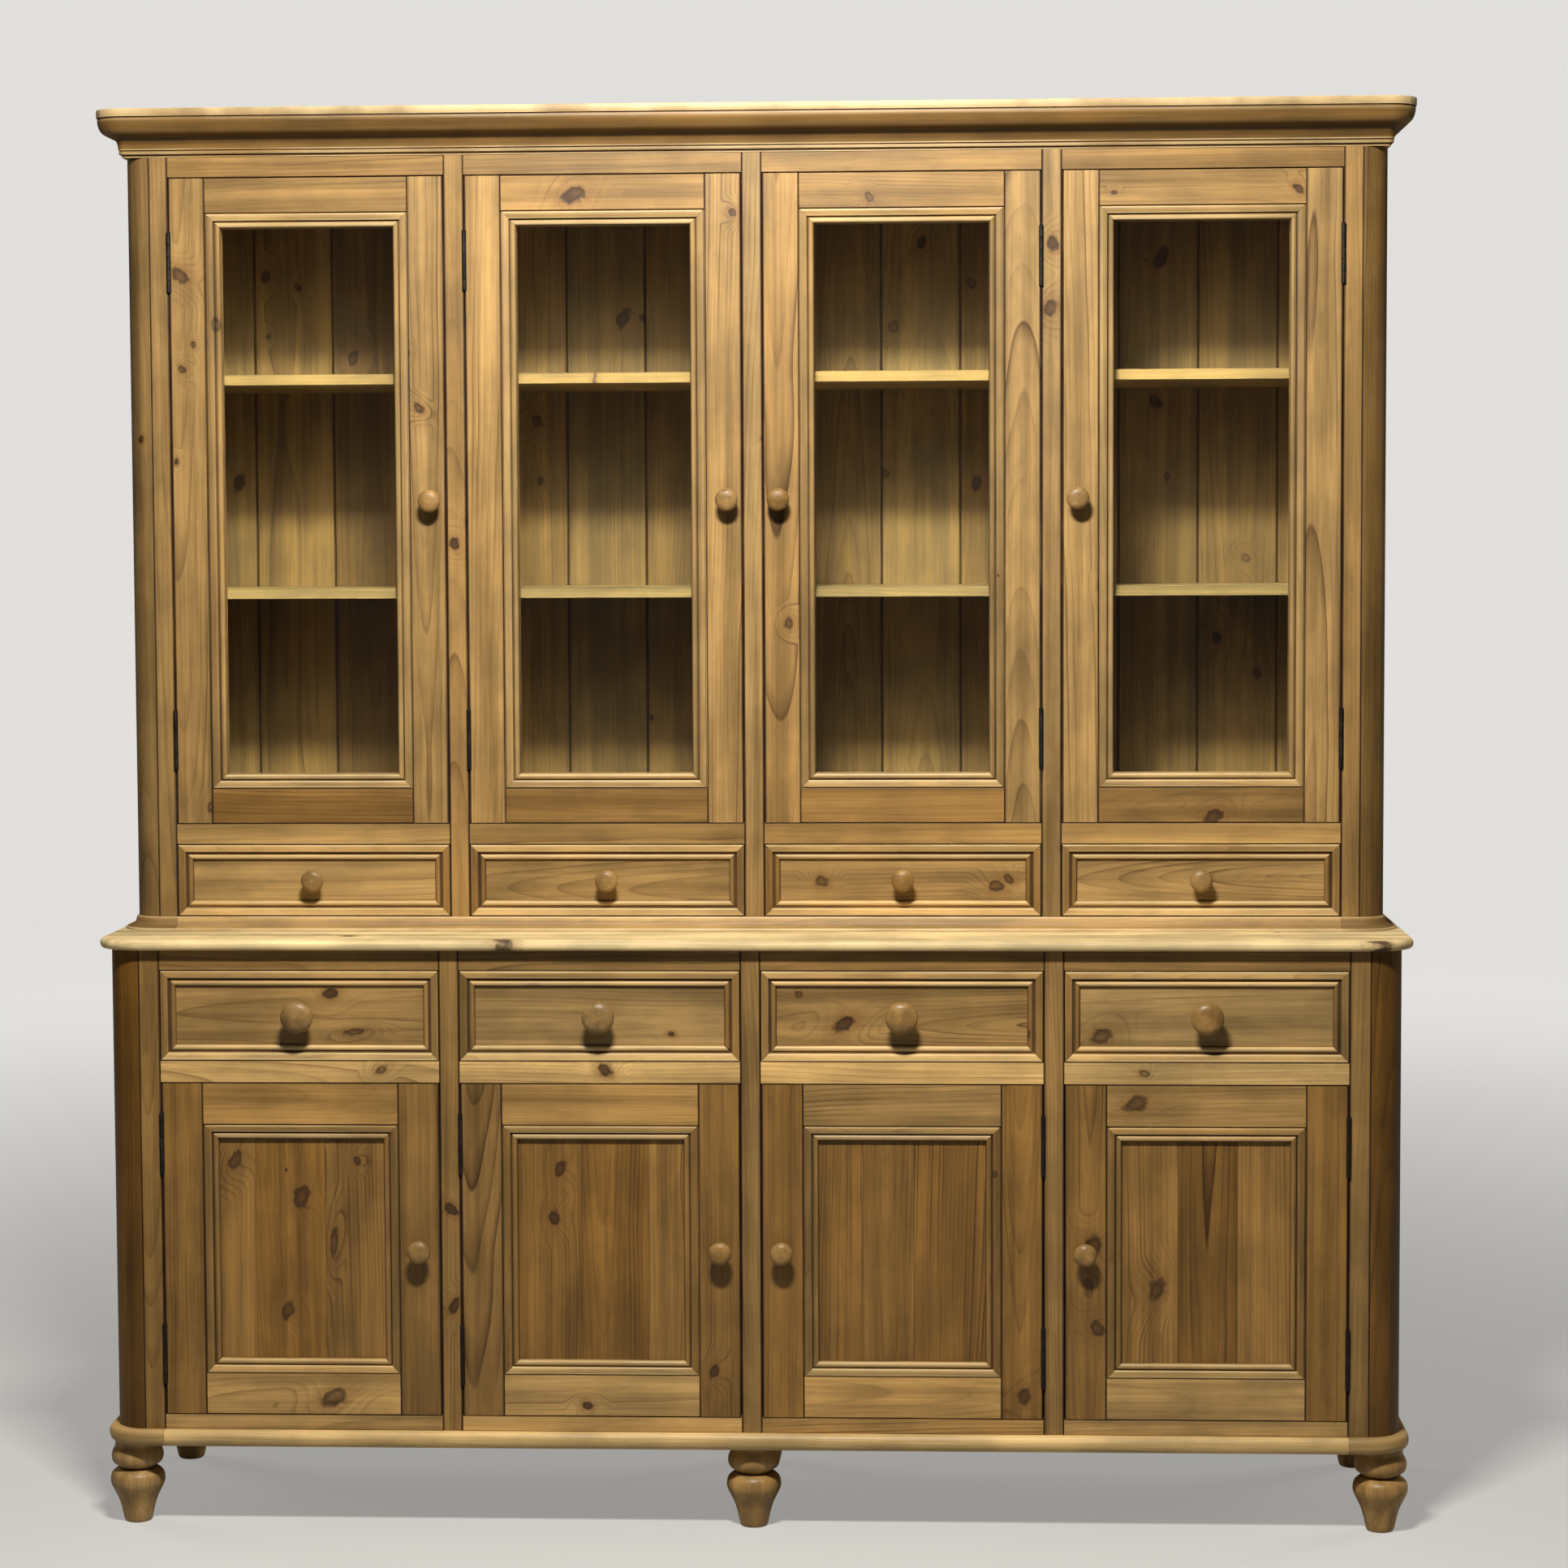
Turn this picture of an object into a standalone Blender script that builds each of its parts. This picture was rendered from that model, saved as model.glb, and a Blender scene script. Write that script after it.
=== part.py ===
"""Pine kitchen dresser: a glazed cupboard with small drawers on a cupboard with drawers and panelled doors.

The dresser stands on z = 0, its front faces -Y and +X is on the viewer's right. All sizes are in metres.
"""
import math

import bmesh
import bpy

# Gaps and clearances
SEAT_GAP = 0.0003
FRONT_GAP = 0.0015
OVERRUN = 0.004

# Bays: four openings side by side, with a post between neighbours and a stile at each end
BAYS = 4
OPENING_WIDTH = 0.4135
POST_WIDTH = 0.0292
LOWER_STILE_WIDTH = 0.0312
UPPER_STILE_WIDTH = 0.0287
LOWER_CORNER_RADIUS = 0.048
UPPER_CORNER_RADIUS = 0.038
CORNER_STEPS = 6

# Depths, from the front face of each face frame to the wall side
LOWER_DEPTH = 0.460
UPPER_DEPTH = 0.322

# Heights of what is stacked, from the floor up
FOOT_HEIGHT = 0.1235
PLINTH_THICKNESS = 0.024
LOWER_BOTTOM_RAIL = 0.0219
LOWER_DOOR_OPENING = 0.4955
LOWER_MIDDLE_RAIL = 0.0318
LOWER_DRAWER_OPENING = 0.1345
LOWER_TOP_RAIL = 0.0299
COUNTER_THICKNESS = 0.015
UPPER_BASE_THICKNESS = 0.0195
UPPER_DRAWER_OPENING = 0.109
UPPER_MIDDLE_RAIL = 0.0306
UPPER_DOOR_OPENING = 0.9642
UPPER_TOP_RAIL = 0.0296
CORNICE_HEIGHT = 0.0685

# How far each moulded edge stands out from the case below or above it
PLINTH_OVERHANG = 0.015
COUNTER_OVERHANG = 0.017
UPPER_BASE_OVERHANG = 0.020
CORNICE_PROJECTION = 0.038
CORNICE_BEARING = 0.024
CORNICE_CORNER_EASING = 0.004

# Board thicknesses
FRAME_THICKNESS = 0.022
SIDE_THICKNESS = 0.022
BACK_THICKNESS = 0.012
TOP_THICKNESS = 0.018
DECK_THICKNESS = 0.018
SHELF_THICKNESS = 0.016
HOUSING_DEPTH = 0.006
BACK_REBATE = 0.010

# Back boards with V joints between them
BACK_BOARD_WIDTH = 0.120
BACK_GROOVE_WIDTH = 0.006
BACK_GROOVE_DEPTH = 0.0025

# Shelves, measured from the cupboard floor to the underside of the shelf
UPPER_LOW_SHELF_HEIGHT = 0.337
UPPER_HIGH_SHELF_HEIGHT = 0.657
UPPER_SHELF_SETBACK = 0.006
LOWER_SHELF_HEIGHT = 0.255
LOWER_SHELF_SETBACK = 0.060

# Doors
UPPER_DOOR_STILE = 0.0540
UPPER_DOOR_RAIL = 0.0515
LOWER_DOOR_STILE = 0.0610
LOWER_DOOR_RAIL = 0.0605
EASED_EDGE = 0.0010
JOINT_LINE = 0.0008
DOOR_MOULDING_WIDTH = 0.0225
DOOR_MOULDING_DEPTH = 0.0090
PANEL_THICKNESS = 0.0090
GLASS_SEAT_DEPTH = 0.0115
GLASS_REBATE = 0.0070
GLASS_SIDE_CLEARANCE = 0.0008
GLASS_THICKNESS = 0.0030

# Butt hinges: the knuckle stands just proud of the front, in a notch in the post
HINGE_LENGTH = 0.089
HINGE_KNUCKLE_RADIUS = 0.0032
HINGE_STANDOFF = 0.0015
HINGE_SIDES = 8
UPPER_HINGE_INSET = 0.080
LOWER_HINGE_INSET = 0.045

# Drawers
DRAWER_MOULDING_WIDTH = 0.0225
DRAWER_MOULDING_DEPTH = 0.0065
DRAWER_WALL = 0.012
DRAWER_BOTTOM = 0.008
DRAWER_SIDE_SETIN = 0.001
DRAWER_TOP_CLEARANCE = 0.012
DRAWER_BACK_CLEARANCE = 0.020
GUIDE_HEIGHT = 0.022

# Turned knobs, with a spigot glued into the wood behind
SMALL_KNOB_DIAMETER = 0.034
SMALL_KNOB_LENGTH = 0.030
LARGE_KNOB_DIAMETER = 0.048
LARGE_KNOB_LENGTH = 0.038
SPIGOT_DIAMETER = 0.010
SPIGOT_LENGTH = 0.014
SPIGOT_END_ROOM = 0.0006
KNOB_SEGMENTS = 12
UPPER_KNOB_INSET = 0.0220
LOWER_KNOB_INSET = 0.0290

# Turned feet
FOOT_DIAMETER = 0.081
FOOT_SIDE_INSET = 0.027
FOOT_FRONT_INSET = 0.040
FOOT_BACK_INSET = 0.045
FOOT_SEGMENTS = 14

SMOOTH_ANGLE = math.radians(35)

# Sections, as shares of the width or projection (first) and of the height or depth (second)
CORNICE_SHARES = (
    (0.02, 0.00), (0.02, 0.05), (0.10, 0.06), (0.14, 0.10), (0.10, 0.14), (0.16, 0.16), (0.17, 0.20),
    (0.24, 0.27), (0.35, 0.35), (0.48, 0.41), (0.60, 0.44), (0.60, 0.475), (0.74, 0.51), (0.86, 0.58),
    (0.93, 0.67), (0.96, 0.77), (0.96, 0.82), (1.00, 0.83), (1.00, 1.00),
)
BASE_SHARES = (
    (0.10, 1.00), (0.16, 0.92), (0.20, 0.76), (0.34, 0.54), (0.60, 0.34), (0.92, 0.20), (1.00, 0.00),
)
COUNTER_SHARES = (
    (0.55, 1.00), (0.80, 0.93), (0.94, 0.76), (1.00, 0.52), (0.97, 0.28), (0.86, 0.10), (0.70, 0.00),
)
PLINTH_SHARES = (
    (0.45, 1.00), (0.76, 0.93), (0.95, 0.74), (1.00, 0.50), (0.95, 0.26), (0.76, 0.07), (0.45, 0.00),
)
MOULDING_SHARES = (
    (0.03, 0.02), (0.20, 0.00), (0.38, 0.08), (0.50, 0.22), (0.53, 0.62), (0.63, 0.64),
    (0.69, 0.36), (0.80, 0.26), (0.92, 0.38), (1.00, 1.00),
)
KNOB_SHARES = (
    (0.46, 0.00), (0.40, 0.10), (0.34, 0.28), (0.50, 0.44), (0.86, 0.54),
    (1.00, 0.68), (0.94, 0.84), (0.66, 0.96), (0.00, 1.00),
)
FOOT_SHARES = (
    (0.00, 0.00), (0.47, 0.00), (0.52, 0.03), (0.60, 0.16), (0.71, 0.28), (0.87, 0.39), (0.98, 0.46),
    (1.00, 0.52), (0.95, 0.59), (0.80, 0.64), (0.64, 0.665), (0.72, 0.69), (0.89, 0.73), (0.95, 0.80),
    (0.91, 0.87), (0.82, 0.93), (0.82, 1.00), (0.00, 1.00),
)

# Places worked out from the sizes above
bay_pitch = OPENING_WIDTH + POST_WIDTH
openings_half = (BAYS * OPENING_WIDTH + (BAYS - 1) * POST_WIDTH) / 2
lower_half = openings_half + LOWER_STILE_WIDTH + max(LOWER_CORNER_RADIUS, SIDE_THICKNESS)
upper_half = openings_half + UPPER_STILE_WIDTH + max(UPPER_CORNER_RADIUS, SIDE_THICKNESS)
overall_depth = LOWER_DEPTH + LARGE_KNOB_LENGTH - DRAWER_MOULDING_DEPTH
back_y = overall_depth / 2
lower_front = back_y - LOWER_DEPTH
upper_front = back_y - UPPER_DEPTH
back_inner = back_y - BACK_THICKNESS

plinth_bottom = FOOT_HEIGHT + SEAT_GAP
lower_bottom = plinth_bottom + PLINTH_THICKNESS + SEAT_GAP
lower_door_low = lower_bottom + LOWER_BOTTOM_RAIL
lower_door_high = lower_door_low + LOWER_DOOR_OPENING
lower_drawer_low = lower_door_high + LOWER_MIDDLE_RAIL
lower_drawer_high = lower_drawer_low + LOWER_DRAWER_OPENING
lower_top = lower_drawer_high + LOWER_TOP_RAIL
counter_bottom = lower_top + SEAT_GAP
upper_base_bottom = counter_bottom + COUNTER_THICKNESS + SEAT_GAP
upper_bottom = upper_base_bottom + UPPER_BASE_THICKNESS + SEAT_GAP
upper_drawer_high = upper_bottom + UPPER_DRAWER_OPENING
upper_door_low = upper_drawer_high + UPPER_MIDDLE_RAIL
upper_door_high = upper_door_low + UPPER_DOOR_OPENING
upper_top = upper_door_high + UPPER_TOP_RAIL
cornice_bottom = upper_top + SEAT_GAP


def clear_scene():
    """Start from an empty scene."""
    for item in list(bpy.data.objects):
        bpy.data.objects.remove(item, do_unlink=True)


def make_material(name, colour, roughness, alpha=1.0):
    """One plain finish."""
    material = bpy.data.materials.new(name)
    material.use_nodes = True
    shader = material.node_tree.nodes["Principled BSDF"]
    shader.inputs["Base Color"].default_value = (*colour, 1.0)
    shader.inputs["Roughness"].default_value = roughness
    shader.inputs["Alpha"].default_value = alpha
    return material


def link_object(name, data):
    """Put new data into the scene as a named object."""
    item = bpy.data.objects.new(name, data)
    bpy.context.scene.collection.objects.link(item)
    return item


def make_piece(name, shape, material, parent=None, location=(0, 0, 0), smooth=False):
    """Turn a finished shape into a named object with its material."""
    bmesh.ops.recalc_face_normals(shape, faces=shape.faces)
    mesh = bpy.data.meshes.new(name)
    shape.to_mesh(mesh)
    shape.free()
    mesh.materials.append(material)
    if smooth:
        mesh.shade_smooth()
        mesh.set_sharp_from_angle(angle=SMOOTH_ANGLE)
    piece = link_object(name, mesh)
    piece.parent = parent
    piece.location = location
    return piece


def make_empty(name, location):
    """An empty that carries the pieces of one moving part."""
    empty = link_object(name, None)
    empty.location = location
    return empty


def bay_centre(bay):
    """The middle of a bay, counted from 0 on the left."""
    return (bay - (BAYS - 1) / 2) * bay_pitch


def add_loop(shape, points):
    """New vertices at these points."""
    return [shape.verts.new(point) for point in points]


def skin(shape, loops, ring=False):
    """Join each loop of vertices to the next, and the last to the first for a ring."""
    pairs = list(zip(loops, loops[1:]))
    if ring:
        pairs.append((loops[-1], loops[0]))
    for first, second in pairs:
        for index in range(len(first)):
            after = (index + 1) % len(first)
            shape.faces.new((first[index], first[after], second[after], second[index]))


def skin_solid(shape, loops):
    """Join the loops and close both ends."""
    skin(shape, loops)
    shape.faces.new(loops[0])
    shape.faces.new(loops[-1])


def add_box(shape, low, high):
    """A box between two corners."""
    loops = []
    for z in (low[2], high[2]):
        corners = ((low[0], low[1]), (high[0], low[1]), (high[0], high[1]), (low[0], high[1]))
        loops.append(add_loop(shape, [(x, y, z) for x, y in corners]))
    skin_solid(shape, loops)


def add_prism(shape, outline, start, end):
    """An outline of (x, y) points, carried from one height to another."""
    loops = [add_loop(shape, [(x, y, z) for x, y in outline]) for z in (start, end)]
    skin_solid(shape, loops)


def add_turning(shape, points, segments):
    """A turned shape about Z from (radius, height) points; a radius of 0 closes it on the axis."""
    rings = []
    for radius, height in points:
        if radius == 0:
            rings.append([shape.verts.new((0, 0, height))])
            continue
        angles = [2 * math.pi * step / segments for step in range(segments)]
        rings.append(add_loop(shape, [(radius * math.cos(a), radius * math.sin(a), height) for a in angles]))
    for first, second in zip(rings, rings[1:]):
        for index in range(segments):
            after = (index + 1) % segments
            corners = [first[index % len(first)], first[after % len(first)]]
            corners += [second[after % len(second)], second[index % len(second)]]
            shape.faces.new(list(dict.fromkeys(corners)))


def make_helper(name, shape, parent=None, location=(0, 0, 0)):
    """A shape that only cuts or joins another piece."""
    bmesh.ops.recalc_face_normals(shape, faces=shape.faces)
    mesh = bpy.data.meshes.new(name)
    shape.to_mesh(mesh)
    shape.free()
    helper = link_object(name, mesh)
    helper.parent = parent
    helper.location = location
    helper.hide_render = True
    helper.display_type = "WIRE"
    return helper


def combine(piece, helper, operation):
    """Cut a helper out of a piece, or join it on."""
    modifier = piece.modifiers.new(helper.name, "BOOLEAN")
    modifier.object = helper
    modifier.operation = operation
    modifier.solver = "EXACT"


def moulded_outline(half, front, radius, offset, z):
    """The plan of a board with round front corners, grown by an offset on its front and sides."""
    points = [(-half - offset, back_y, z)]
    for side, start in ((-1, math.pi), (1, 1.5 * math.pi)):
        centre_x = side * (half - radius)
        centre_y = front + radius
        for step in range(CORNER_STEPS + 1):
            angle = start + math.pi / 2 * step / CORNER_STEPS
            reach = radius + offset
            points.append((centre_x + reach * math.cos(angle), centre_y + reach * math.sin(angle), z))
    points.append((half + offset, back_y, z))
    return points


def add_moulded_board(shape, half, front, radius, overhang, low, thickness, section_shares):
    """A board whose front and side edges follow a section."""
    loops = []
    for out_share, up_share in section_shares:
        z = low + up_share * thickness
        loops.append(add_loop(shape, moulded_outline(half, front, radius, out_share * overhang, z)))
    skin_solid(shape, loops)


def make_plinth(material):
    """The bottom board of the lower case, with its round nose."""
    shape = bmesh.new()
    add_moulded_board(shape, lower_half, lower_front, LOWER_CORNER_RADIUS, PLINTH_OVERHANG,
                      plinth_bottom, PLINTH_THICKNESS, PLINTH_SHARES)
    make_piece("lower_base_board", shape, material)


def make_counter(material):
    """The top of the lower case."""
    shape = bmesh.new()
    add_moulded_board(shape, lower_half, lower_front, LOWER_CORNER_RADIUS, COUNTER_OVERHANG,
                      counter_bottom, COUNTER_THICKNESS, COUNTER_SHARES)
    make_piece("counter_top", shape, material)


def make_upper_base(material):
    """The board under the upper case, with its flared moulding and the guides of the small drawers."""
    shape = bmesh.new()
    add_moulded_board(shape, upper_half, upper_front, UPPER_CORNER_RADIUS, UPPER_BASE_OVERHANG,
                      upper_base_bottom, UPPER_BASE_THICKNESS, BASE_SHARES)
    board = make_piece("upper_base_board", shape, material)
    guides = bmesh.new()
    top = upper_base_bottom + UPPER_BASE_THICKNESS
    start = upper_front + FRAME_THICKNESS + SEAT_GAP
    for low_x, high_x in guide_spans(upper_half):
        add_box(guides, (low_x, start, top - OVERRUN), (high_x, back_inner - SEAT_GAP, top + GUIDE_HEIGHT))
    combine(board, make_helper("upper_drawer_guides", guides), "UNION")


def guide_spans(half):
    """Where the drawer guides lie: one behind each post and one against each side."""
    inner = half - SIDE_THICKNESS - SEAT_GAP
    spans = [(-inner, -openings_half)]
    for bay in range(BAYS - 1):
        centre = bay_centre(bay) + bay_pitch / 2
        spans.append((centre - POST_WIDTH / 2, centre + POST_WIDTH / 2))
    spans.append((openings_half, inner))
    return spans


def housed_half(half):
    """Half the length of a board whose ends are housed in the sides."""
    return half - SIDE_THICKNESS + HOUSING_DEPTH - SEAT_GAP


def make_shelf(name, half, front, low, thickness, material):
    """A plain board housed in the two sides."""
    reach = housed_half(half)
    shape = bmesh.new()
    add_box(shape, (-reach, front, low), (reach, back_inner - SEAT_GAP, low + thickness))
    return make_piece(name, shape, material)


def make_decks(material):
    """The boards that carry the lower drawers and floor the glazed cupboard."""
    deck_low = lower_drawer_low - DECK_THICKNESS
    start = lower_front + FRAME_THICKNESS + SEAT_GAP
    deck = make_shelf("lower_drawer_deck", lower_half, start, deck_low, DECK_THICKNESS, material)
    guides = bmesh.new()
    for low_x, high_x in guide_spans(lower_half):
        low = (low_x, start + SEAT_GAP, lower_drawer_low - OVERRUN)
        high = (high_x, back_inner - 2 * SEAT_GAP, lower_drawer_low + GUIDE_HEIGHT)
        add_box(guides, low, high)
    combine(deck, make_helper("lower_drawer_guides", guides), "UNION")
    start = upper_front + FRAME_THICKNESS + SEAT_GAP
    floor_low = upper_door_low - DECK_THICKNESS
    make_shelf("upper_cupboard_floor", upper_half, start, floor_low, DECK_THICKNESS, material)


def make_shelves(material):
    """The shelves, set back behind the doors, and the top board of the upper case."""
    inside = upper_front + FRAME_THICKNESS + UPPER_SHELF_SETBACK
    heights = (("upper_shelf_low", UPPER_LOW_SHELF_HEIGHT), ("upper_shelf_high", UPPER_HIGH_SHELF_HEIGHT))
    for name, height in heights:
        make_shelf(name, upper_half, inside, upper_door_low + height, SHELF_THICKNESS, material)
    inside = lower_front + FRAME_THICKNESS + LOWER_SHELF_SETBACK
    shelf_low = lower_bottom + LOWER_SHELF_HEIGHT
    make_shelf("lower_shelf", lower_half, inside, shelf_low, SHELF_THICKNESS, material)
    start = upper_front + FRAME_THICKNESS + SEAT_GAP
    make_shelf("upper_top_board", upper_half, start, upper_top - TOP_THICKNESS, TOP_THICKNESS, material)


def side_outline(sign, half, front, radius):
    """The plan of a side: a round front corner, a flat board behind it and a rebate for the back."""
    block = max(radius, SIDE_THICKNESS)
    points = [(half, back_y), (half, front + radius)]
    for step in range(1, CORNER_STEPS + 1):
        angle = math.pi / 2 * step / CORNER_STEPS
        points.append((half - radius + radius * math.cos(angle), front + radius - radius * math.sin(angle)))
    if block > radius:
        points.append((half - block, front))
    inner = half - SIDE_THICKNESS
    points += [(half - block, front + FRAME_THICKNESS), (inner, front + FRAME_THICKNESS)]
    points += [(inner, back_inner - SEAT_GAP), (inner + BACK_REBATE, back_inner - SEAT_GAP)]
    points.append((inner + BACK_REBATE, back_y))
    return [(sign * x, y) for x, y in points]


def make_side(name, sign, half, front, radius, low, high, housings, material):
    """One side, with a groove for each board housed in it, given as (underside, thickness, front)."""
    shape = bmesh.new()
    add_prism(shape, side_outline(sign, half, front, radius), low, high)
    side = make_piece(name, shape, material)
    grooves = bmesh.new()
    inner = half - SIDE_THICKNESS
    for underside, thickness, start in housings:
        near, far = sorted((sign * (inner - OVERRUN), sign * (inner + HOUSING_DEPTH)))
        top = underside + thickness + SEAT_GAP
        if top > high:
            top = high + OVERRUN
        add_box(grooves, (near, start - SEAT_GAP, underside - SEAT_GAP), (far, back_y + OVERRUN, top))
    combine(side, make_helper(name + "_housings", grooves), "DIFFERENCE")


def make_sides(material):
    """Both sides of both cases."""
    behind_upper = upper_front + FRAME_THICKNESS + SEAT_GAP
    behind_lower = lower_front + FRAME_THICKNESS + SEAT_GAP
    upper_shelf_front = upper_front + FRAME_THICKNESS + UPPER_SHELF_SETBACK
    upper_housings = (
        (upper_door_low - DECK_THICKNESS, DECK_THICKNESS, behind_upper),
        (upper_door_low + UPPER_LOW_SHELF_HEIGHT, SHELF_THICKNESS, upper_shelf_front),
        (upper_door_low + UPPER_HIGH_SHELF_HEIGHT, SHELF_THICKNESS, upper_shelf_front),
        (upper_top - TOP_THICKNESS, TOP_THICKNESS, behind_upper),
    )
    lower_shelf_front = lower_front + FRAME_THICKNESS + LOWER_SHELF_SETBACK
    lower_housings = (
        (lower_bottom + LOWER_SHELF_HEIGHT, SHELF_THICKNESS, lower_shelf_front),
        (lower_drawer_low - DECK_THICKNESS, DECK_THICKNESS, behind_lower),
    )
    for word, sign in (("left", -1), ("right", 1)):
        make_side("upper_" + word + "_side", sign, upper_half, upper_front, UPPER_CORNER_RADIUS,
                  upper_bottom, upper_top, upper_housings, material)
        make_side("lower_" + word + "_side", sign, lower_half, lower_front, LOWER_CORNER_RADIUS,
                  lower_bottom, lower_top, lower_housings, material)


def make_back(name, half, low, high, material):
    """Upright back boards side by side, with a V joint between neighbours on the inner face."""
    reach = half - SIDE_THICKNESS + BACK_REBATE - SEAT_GAP
    count = round(2 * reach / BACK_BOARD_WIDTH)
    outline = [(-reach, back_y), (-reach, back_inner)]
    for joint in range(1, count):
        centre = -reach + 2 * reach * joint / count
        outline.append((centre - BACK_GROOVE_WIDTH / 2, back_inner))
        outline.append((centre, back_inner + BACK_GROOVE_DEPTH))
        outline.append((centre + BACK_GROOVE_WIDTH / 2, back_inner))
    outline += [(reach, back_inner), (reach, back_y)]
    shape = bmesh.new()
    add_prism(shape, outline, low, high)
    make_piece(name, shape, material)


def hinge_side(bay):
    """The left half of the doors is hinged on the left, the right half on the right."""
    return -1 if bay < BAYS / 2 else 1


def hinge_heights(low, high, inset):
    """The lower ends of the two hinges of a door between two heights."""
    return (low + inset, high - inset - HINGE_LENGTH)


def make_face_frame(name, half, front, radius, low, high, rows, hinge_inset, material):
    """A frame of rails and posts, cut for the rows of openings and notched for the hinge knuckles."""
    reach = half - max(radius, SIDE_THICKNESS) - SEAT_GAP
    shape = bmesh.new()
    add_box(shape, (-reach, front, low), (reach, front + FRAME_THICKNESS, high))
    frame = make_piece(name, shape, material)
    openings = bmesh.new()
    notches = bmesh.new()
    door_low, door_high = rows[0]
    notch_side = HINGE_KNUCKLE_RADIUS - FRONT_GAP / 2 + SEAT_GAP
    notch_depth = HINGE_KNUCKLE_RADIUS - HINGE_STANDOFF + SEAT_GAP
    for bay in range(BAYS):
        centre = bay_centre(bay)
        for bottom, top in rows:
            bottom = bottom if bottom > low else low - OVERRUN
            add_box(openings, (centre - OPENING_WIDTH / 2, front - OVERRUN, bottom),
                    (centre + OPENING_WIDTH / 2, front + FRAME_THICKNESS + OVERRUN, top))
        edge = centre + hinge_side(bay) * OPENING_WIDTH / 2
        near, far = sorted((edge - hinge_side(bay) * OVERRUN, edge + hinge_side(bay) * notch_side))
        for start in hinge_heights(door_low + FRONT_GAP, door_high - FRONT_GAP, hinge_inset):
            add_box(notches, (near, front - OVERRUN, start - SEAT_GAP),
                    (far, front + notch_depth, start + HINGE_LENGTH + SEAT_GAP))
    combine(frame, make_helper(name + "_openings", openings), "DIFFERENCE")
    combine(frame, make_helper(name + "_notches", notches), "DIFFERENCE")


def make_face_frames(material):
    """The face frames of the two cases; the small drawers' openings run down to the base board."""
    make_face_frame("lower_face_frame", lower_half, lower_front, LOWER_CORNER_RADIUS,
                    lower_bottom, lower_top,
                    ((lower_door_low, lower_door_high), (lower_drawer_low, lower_drawer_high)),
                    LOWER_HINGE_INSET, material)
    make_face_frame("upper_face_frame", upper_half, upper_front, UPPER_CORNER_RADIUS,
                    upper_bottom, upper_top,
                    ((upper_door_low, upper_door_high), (upper_bottom, upper_drawer_high)),
                    UPPER_HINGE_INSET, material)


def make_cornice(material):
    """The cornice: one section carried round the sides and the front, with round corners."""
    section = [(-CORNICE_BEARING, 0)]
    section += [(out * CORNICE_PROJECTION, up * CORNICE_HEIGHT) for out, up in CORNICE_SHARES]
    section.append((-CORNICE_BEARING, CORNICE_HEIGHT))
    shape = bmesh.new()
    outlines = []
    for out, up in section:
        radius = CORNICE_CORNER_EASING + max(out, 0)
        outlines.append(moulded_outline(upper_half + out, upper_front - out, radius, 0, cornice_bottom + up))
    skin_solid(shape, [add_loop(shape, points) for points in zip(*outlines)])
    make_piece("cornice", shape, material)


def panel_loop(shape, width, height, inset_x, inset_z, depth):
    """A rectangle set in from the edges of an upright board, at a depth behind its front face."""
    corners = ((inset_x, inset_z), (width - inset_x, inset_z),
               (width - inset_x, height - inset_z), (inset_x, height - inset_z))
    return add_loop(shape, [(x, depth, z) for x, z in corners])


def edge_section(thickness):
    """The outer edge of a door or drawer front, from back to front, eased at the front."""
    return [(0, 0, thickness), (0, 0, EASED_EDGE), (EASED_EDGE, EASED_EDGE, 0)]


def moulding_section(stile, rail, width, depth):
    """The moulding inside a stile and a rail, from the outside in."""
    return [(stile + share * width, rail + share * width, down * depth) for share, down in MOULDING_SHARES]


def joint_section(stile, rail):
    """The fine line where a moulding meets its stile and rail."""
    return [(stile - JOINT_LINE, rail - JOINT_LINE, 0), (stile, rail, JOINT_LINE)]


def make_door_frame(name, width, height, stile, rail, glazed, material, parent, location):
    """A door: stiles, rails and mouldings round a panel, or round a rebate for glass."""
    section = edge_section(FRAME_THICKNESS) + joint_section(stile, rail)
    section += moulding_section(stile, rail, DOOR_MOULDING_WIDTH, DOOR_MOULDING_DEPTH)
    sight_x = stile + DOOR_MOULDING_WIDTH
    sight_z = rail + DOOR_MOULDING_WIDTH
    shape = bmesh.new()
    if glazed:
        section.append((sight_x, sight_z, GLASS_SEAT_DEPTH))
        section.append((sight_x - GLASS_REBATE, sight_z - GLASS_REBATE, GLASS_SEAT_DEPTH))
        section.append((sight_x - GLASS_REBATE, sight_z - GLASS_REBATE, FRAME_THICKNESS))
        skin(shape, [panel_loop(shape, width, height, *place) for place in section], ring=True)
    else:
        panel_back = DOOR_MOULDING_DEPTH + PANEL_THICKNESS
        section = [(stile, rail, panel_back), (stile, rail, FRAME_THICKNESS)] + section
        skin_solid(shape, [panel_loop(shape, width, height, *place) for place in section])
    return make_piece(name, shape, material, parent, location)


def add_knob_hole(piece, x, z, parent, location):
    """Drill the hole for a knob's spigot."""
    shape = bmesh.new()
    radius = SPIGOT_DIAMETER / 2 + SEAT_GAP
    depth = SPIGOT_LENGTH + SPIGOT_END_ROOM
    add_turning(shape, ((0, -depth), (radius, -depth), (radius, OVERRUN), (0, OVERRUN)), KNOB_SEGMENTS)
    drill = make_helper(piece.name + "_knob_hole", shape, parent,
                        (location[0] + x, location[1], location[2] + z))
    drill.rotation_euler = (math.pi / 2, 0, 0)
    combine(piece, drill, "DIFFERENCE")


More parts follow.
